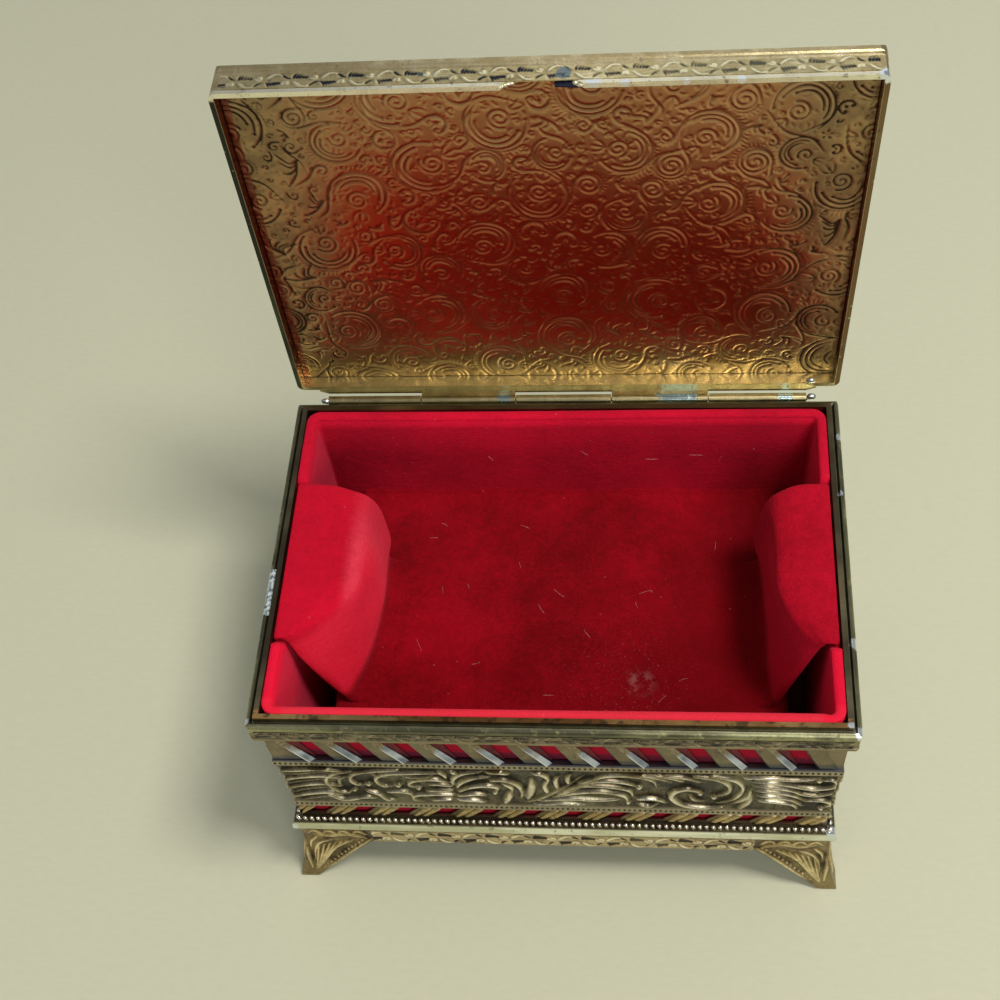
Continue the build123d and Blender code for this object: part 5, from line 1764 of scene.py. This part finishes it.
class Finishes:
    """Every finish of the new pieces, built once."""

    def __init__(self) -> None:
        """Builds the finishes."""
        # Bare spots: partly wear, partly painted glints on the band's corners and the toes
        corner = ((55.4, -41.6, 50.8, 2.4), (55.0, -42.0, 30.0, 1.8), (-55.2, -41.4, 51.0, 1.6))
        toe = ((58.4, -45.6, 1.6, 3.2), (-58.4, -45.6, 1.4, 1.8))
        tear = ((3.6, 40.4, 146.8, 2.6), (-20.6, 41.0, 146.8, 1.0))
        self.ornament = Gilt("gilt_ornament", (1.0, 0.91, 0.72), (0.25, 0.20, 0.115), (0.028, 0.024, 0.017),
                             0.42, 0.20, 1.35, corner).build()
        self.border = Gilt("gilt_border", (1.0, 0.92, 0.72), (0.60, 0.47, 0.28), (0.04, 0.034, 0.03),
                           0.66, 0.22, 1.3).build()
        self.rim_border = Gilt("gilt_rim_border", (0.74, 0.64, 0.48), (0.27, 0.215, 0.135), (0.03, 0.026, 0.02),
                               0.45, 0.26, 0.9).build()
        self.lid_border = Gilt("gilt_lid_border", (1.0, 0.92, 0.60), (0.60, 0.49, 0.24), (0.030, 0.034, 0.046),
                               0.74, 0.22, 1.2, tear, (0.20, 0.25, 0.25)).build()
        self.top = Gilt("gilt_top", (0.98, 0.86, 0.58), (0.46, 0.36, 0.19), (0.09, 0.07, 0.042),
                        0.62, 0.26, 0.9).build()
        self.wings = Gilt("gilt_wings", (0.92, 0.76, 0.46), (0.36, 0.26, 0.12), (0.04, 0.03, 0.02),
                          0.52, 0.24, 1.15, toe).build()
        self.pearls = Gilt("gilt_pearls", (0.96, 0.93, 0.84), (0.66, 0.62, 0.50),
                           rubbed=0.85, roughness=0.18).build()
        self.bars = BarGilt("gilt_bars", (0.62, 0.50, 0.30), (0.20, 0.155, 0.09),
                            rubbed=0.42, roughness=0.28).build()
        self.leaves = Gilt("gilt_leaves", (0.80, 0.64, 0.34), (0.44, 0.32, 0.145),
                           rubbed=0.56, roughness=0.26).build()
        self.blade = Blade("blade_painted_highlight").build()
        self.liner = LidSheet("liner_sheet").build()
        self.lining = Velvet("velvet_lining", (0.24, 0.0, 0.006), (0.56, 0.003, 0.024), (0.74, 0.006, 0.034),
                             (1.0, 0.10, 0.20), False).build()
        self.floor = Velvet("velvet_floor").build()
        self.pits = Plain("ridge_pits", (0.020, 0.018, 0.016), (0.06, 0.05, 0.04), 0.6, 0.5).build()
        # Painted reflection of the red lining on the flanks
        self.red_reflection = Plain("flank_painted_reflection", (0.10, 0.003, 0.008), (0.17, 0.006, 0.014), 0.0, 0.6, 300.0).build()
        self.solder = Plain("solder", (0.30, 0.32, 0.33), (0.78, 0.82, 0.84), 1.0, 0.28).build()
        self.torn = Plain("torn_gilt", (0.42, 0.36, 0.20), (0.92, 0.86, 0.66), 0.7, 0.34, 900.0).build()
        # Near-black blue for the bent plate by the notch
        self.near_black = Plain("near_black_gilt", (0.008, 0.008, 0.026), (0.014, 0.018, 0.048), 0.3, 0.5, 600.0).build()
        self.scrape = Plain("scraped_metal", (0.10, 0.14, 0.15), (0.90, 1.0, 0.98), 0.5, 0.3, 1300.0).build()
        self.lint = Plain("lint_hair", (0.50, 0.20, 0.20), (0.70, 0.42, 0.40), 0.0, 0.8).build()


class Solids:
    """Finishes of the pieces that keep the shape of their solids."""

    def __init__(self) -> None:
        """Builds the finishes and says which node takes which."""
        self.walls = WallGilt("gilt_wall", (0.56, 0.44, 0.24), (0.26, 0.20, 0.11), rubbed=0.38).build()
        self.foot = Gilt("gilt_foot", (0.66, 0.52, 0.28), (0.34, 0.26, 0.13), rubbed=0.42).build()
        # Bare spots on the lid, hinge, rim and rail: partly wear, partly painted glints
        lid = LidGilt("gilt_lid", (0.86, 0.74, 0.46), (0.48, 0.38, 0.19), rubbed=0.6, roughness=0.24, wear_and_glint_spots=(
            (8.6, 38.2, 146.8, 2.2), (14.0, 37.4, 146.6, 1.4), (56.2, 38.0, 146.4, 2.4),
            (24.0, 37.4, 146.6, 1.0), (33.0, 37.5, 146.6, 1.2))).build()
        hinge = Gilt("drawn_brass", (0.78, 0.68, 0.38), (0.38, 0.32, 0.16), (0.06, 0.055, 0.035), 0.50, 0.24,
                     bare=(0.42, 0.52, 0.50), wear_and_glint_spots=(
                         (-12.6, 35.5, 68.5, 2.6), (24.0, 35.5, 68.5, 7.0), (46.0, 35.5, 68.5, 3.0))).build()
        self.by_name = {
            "rim_frame": RimGilt("gilt_rim", rubbed=0.45, roughness=0.28, wear_and_glint_spots=(
                (56.4, -42.6, 68.6, 2.4), (54.6, -41.6, 69.9, 1.4), (56.6, -24.0, 69.0, 2.4),
                (-56.4, -42.2, 68.8, 1.3), (56.3, 24.0, 69.2, 1.5), (55.6, 10.0, 69.2, 1.2))).build(),
            "base_rail": RailGilt("gilt_rail", rubbed=0.7, roughness=0.20, wear_and_glint_spots=(
                (56.6, -43.6, 22.8, 2.4), (56.0, -43.0, 24.4, 2.4), (-56.6, -43.6, 22.8, 1.8))).build(),
            "hinge_pin": Gilt("pin_steel", (0.34, 0.29, 0.17), (0.15, 0.125, 0.07), rubbed=0.4,
                              roughness=0.4).build(),
            "bottom_plate": Gilt("base_sheet", (0.34, 0.27, 0.15), (0.14, 0.105, 0.06), rubbed=0.3,
                                 roughness=0.45).build(),
            # Near-black card: painted shade in the gaps beside the floor's tabs
            "floor_riser": Fibres("backing_card", (0.022, 0.014, 0.012), (0.042, 0.029, 0.024),
                                  (700.0, 4.0, 0.7), (1.0, 0.3, 1.0), relief=0.1).build(),
            **dict.fromkeys(("lid_frame", "lid_top", "lid_liner"), lid),
            **dict.fromkeys(("hinge_leaf_body", "hinge_leaf_lid"), hinge),
        }

    def dress(self, nodes: dict) -> None:
        """Gives each solid its finish."""
        for name, node in nodes.items():
            other = self.foot if name.startswith(("foot", "apron")) else self.walls
            material = self.by_name.get(name, other)
            if node.material_slots:
                node.material_slots[0].material = material
            else:
                node.data.materials.append(material)
            LOG.info("%s takes %s", name, material.name)


@dataclass
class Studio:
    """Floor, soft lamps, world and the camera at the photograph's angle."""

    focal_pixels: float = 1463.4
    middle_row: float = 600.0
    pitch: float = 58.0543
    yaw: float = -11.3484
    roll: float = 9.2480
    eye: tuple[float, float, float] = (19.125, -161.692, 308.66)
    floor_reach: float = 8.0

    def stand(self, name: str, data: bpy.types.ID, axes: np.ndarray, spot: Sequence[float]) -> bpy.types.Object:
        """Adds an object with its three axes in the columns of a matrix, at a spot in metres."""
        made = bpy.data.objects.new(name, data)
        bpy.context.scene.collection.objects.link(made)
        matrix = np.eye(4)
        matrix[:3, :3] = axes
        matrix[:3, 3] = spot
        made.matrix_world = Matrix(matrix.tolist())
        return made

    def camera(self) -> None:
        """Places the camera by its three angles and its eye point."""

        def turn(angle: float, first: int, second: int) -> np.ndarray:
            """Rotation in the plane of two axes."""
            made = np.eye(3)
            c, s = math.cos(math.radians(angle)), math.sin(math.radians(angle))
            made[first, first] = made[second, second] = c
            made[first, second], made[second, first] = -s, s
            return made

        upright = np.array([[1.0, 0, 0], [0, 0, 1.0], [0, -1.0, 0]])
        world = turn(self.roll, 0, 1) @ turn(self.pitch, 1, 2) @ upright @ turn(self.yaw, 0, 1)
        data = bpy.data.cameras.new("camera")
        data.sensor_width = 36.0
        data.lens = 36.0 * self.focal_pixels / 1000
        data.shift_y = (self.middle_row - 500.0) / 1000
        data.clip_start = 0.01
        bpy.context.scene.camera = self.stand("camera", data, world.T, np.array(self.eye) * MM)

    def lamp(self, name: str, spot: Sequence[float], size: float, watts: float, colour: Triple) -> None:
        """Adds a square soft lamp that faces the box."""
        data = bpy.data.lights.new(name, "AREA")
        data.shape, data.size, data.energy, data.color = "SQUARE", size, watts, colour
        away = np.array(spot) - np.array([0.0, 0.0, 0.05])
        back = away / np.linalg.norm(away)
        right = np.cross([0.0, 0.0, 1.0], back)
        right /= np.linalg.norm(right)
        self.stand(name, data, np.stack([right, np.cross(back, right), back], axis=1), spot)

    def floor(self) -> None:
        """Adds a wide pale floor."""
        colour = (0.585, 0.580, 0.415)
        lighter = tuple(1.10 * part for part in colour)
        ground = Fibres("pale_floor", colour, lighter, (900.0, 3.0, 0.6), (0.4, 1.0, 1.0), gloss=0.2).build()
        mesh = bpy.data.meshes.new("floor")
        signs = (-1, -1), (1, -1), (1, 1), (-1, 1)
        points = [(a * self.floor_reach, b * self.floor_reach, 0) for a, b in signs]
        mesh.from_pydata(points, [], [(0, 1, 2, 3)])
        mesh.materials.append(ground)
        self.stand("floor", mesh, np.eye(3), (0, 0, 0))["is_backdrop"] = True

    def world(self, strength: float) -> None:
        """Lights the scene evenly from all round."""
        world = bpy.data.worlds.new("studio")
        world.use_nodes = True
        back = world.node_tree.nodes["Background"]
        back.inputs["Color"].default_value = (0.92, 0.95, 1.0, 1.0)
        back.inputs["Strength"].default_value = strength
        bpy.context.scene.world = world

    def make(self) -> None:
        """Sets up the whole studio."""
        self.camera()
        self.floor()
        self.world(0.32)
        self.lamp("key", (0.38, -0.12, 1.00), 0.24, 6.5, (1.0, 0.98, 0.94))
        self.lamp("front", (0.35, -0.85, 0.75), 0.45, 3.4, (0.97, 0.98, 1.0))
        self.lamp("back", (0.10, 0.85, 0.75), 0.55, 0.5, (1.0, 0.99, 0.95))
        bpy.context.scene.view_settings.view_transform = "Standard"


def corners(pair: tuple) -> list[list[float]]:
    """Lowest and highest corner as plain lists."""
    return [[float(part) for part in corner] for corner in pair]


def main() -> None:
    """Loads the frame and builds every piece."""
    logging.basicConfig(level=logging.INFO, format="%(message)s")
    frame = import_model()
    solid_box = corners(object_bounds())
    Solids().dress(frame["nodes"])
    finishes = Finishes()
    for part in (Walls(), Borders(), Feet(), Lid(), Lining(), Saddle(), Lint(), Solders()):
        part.make(finishes)
    Studio().make()
    {"solids": solid_box, "visual": corners(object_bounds())}


if __name__ == "__main__":
    main()
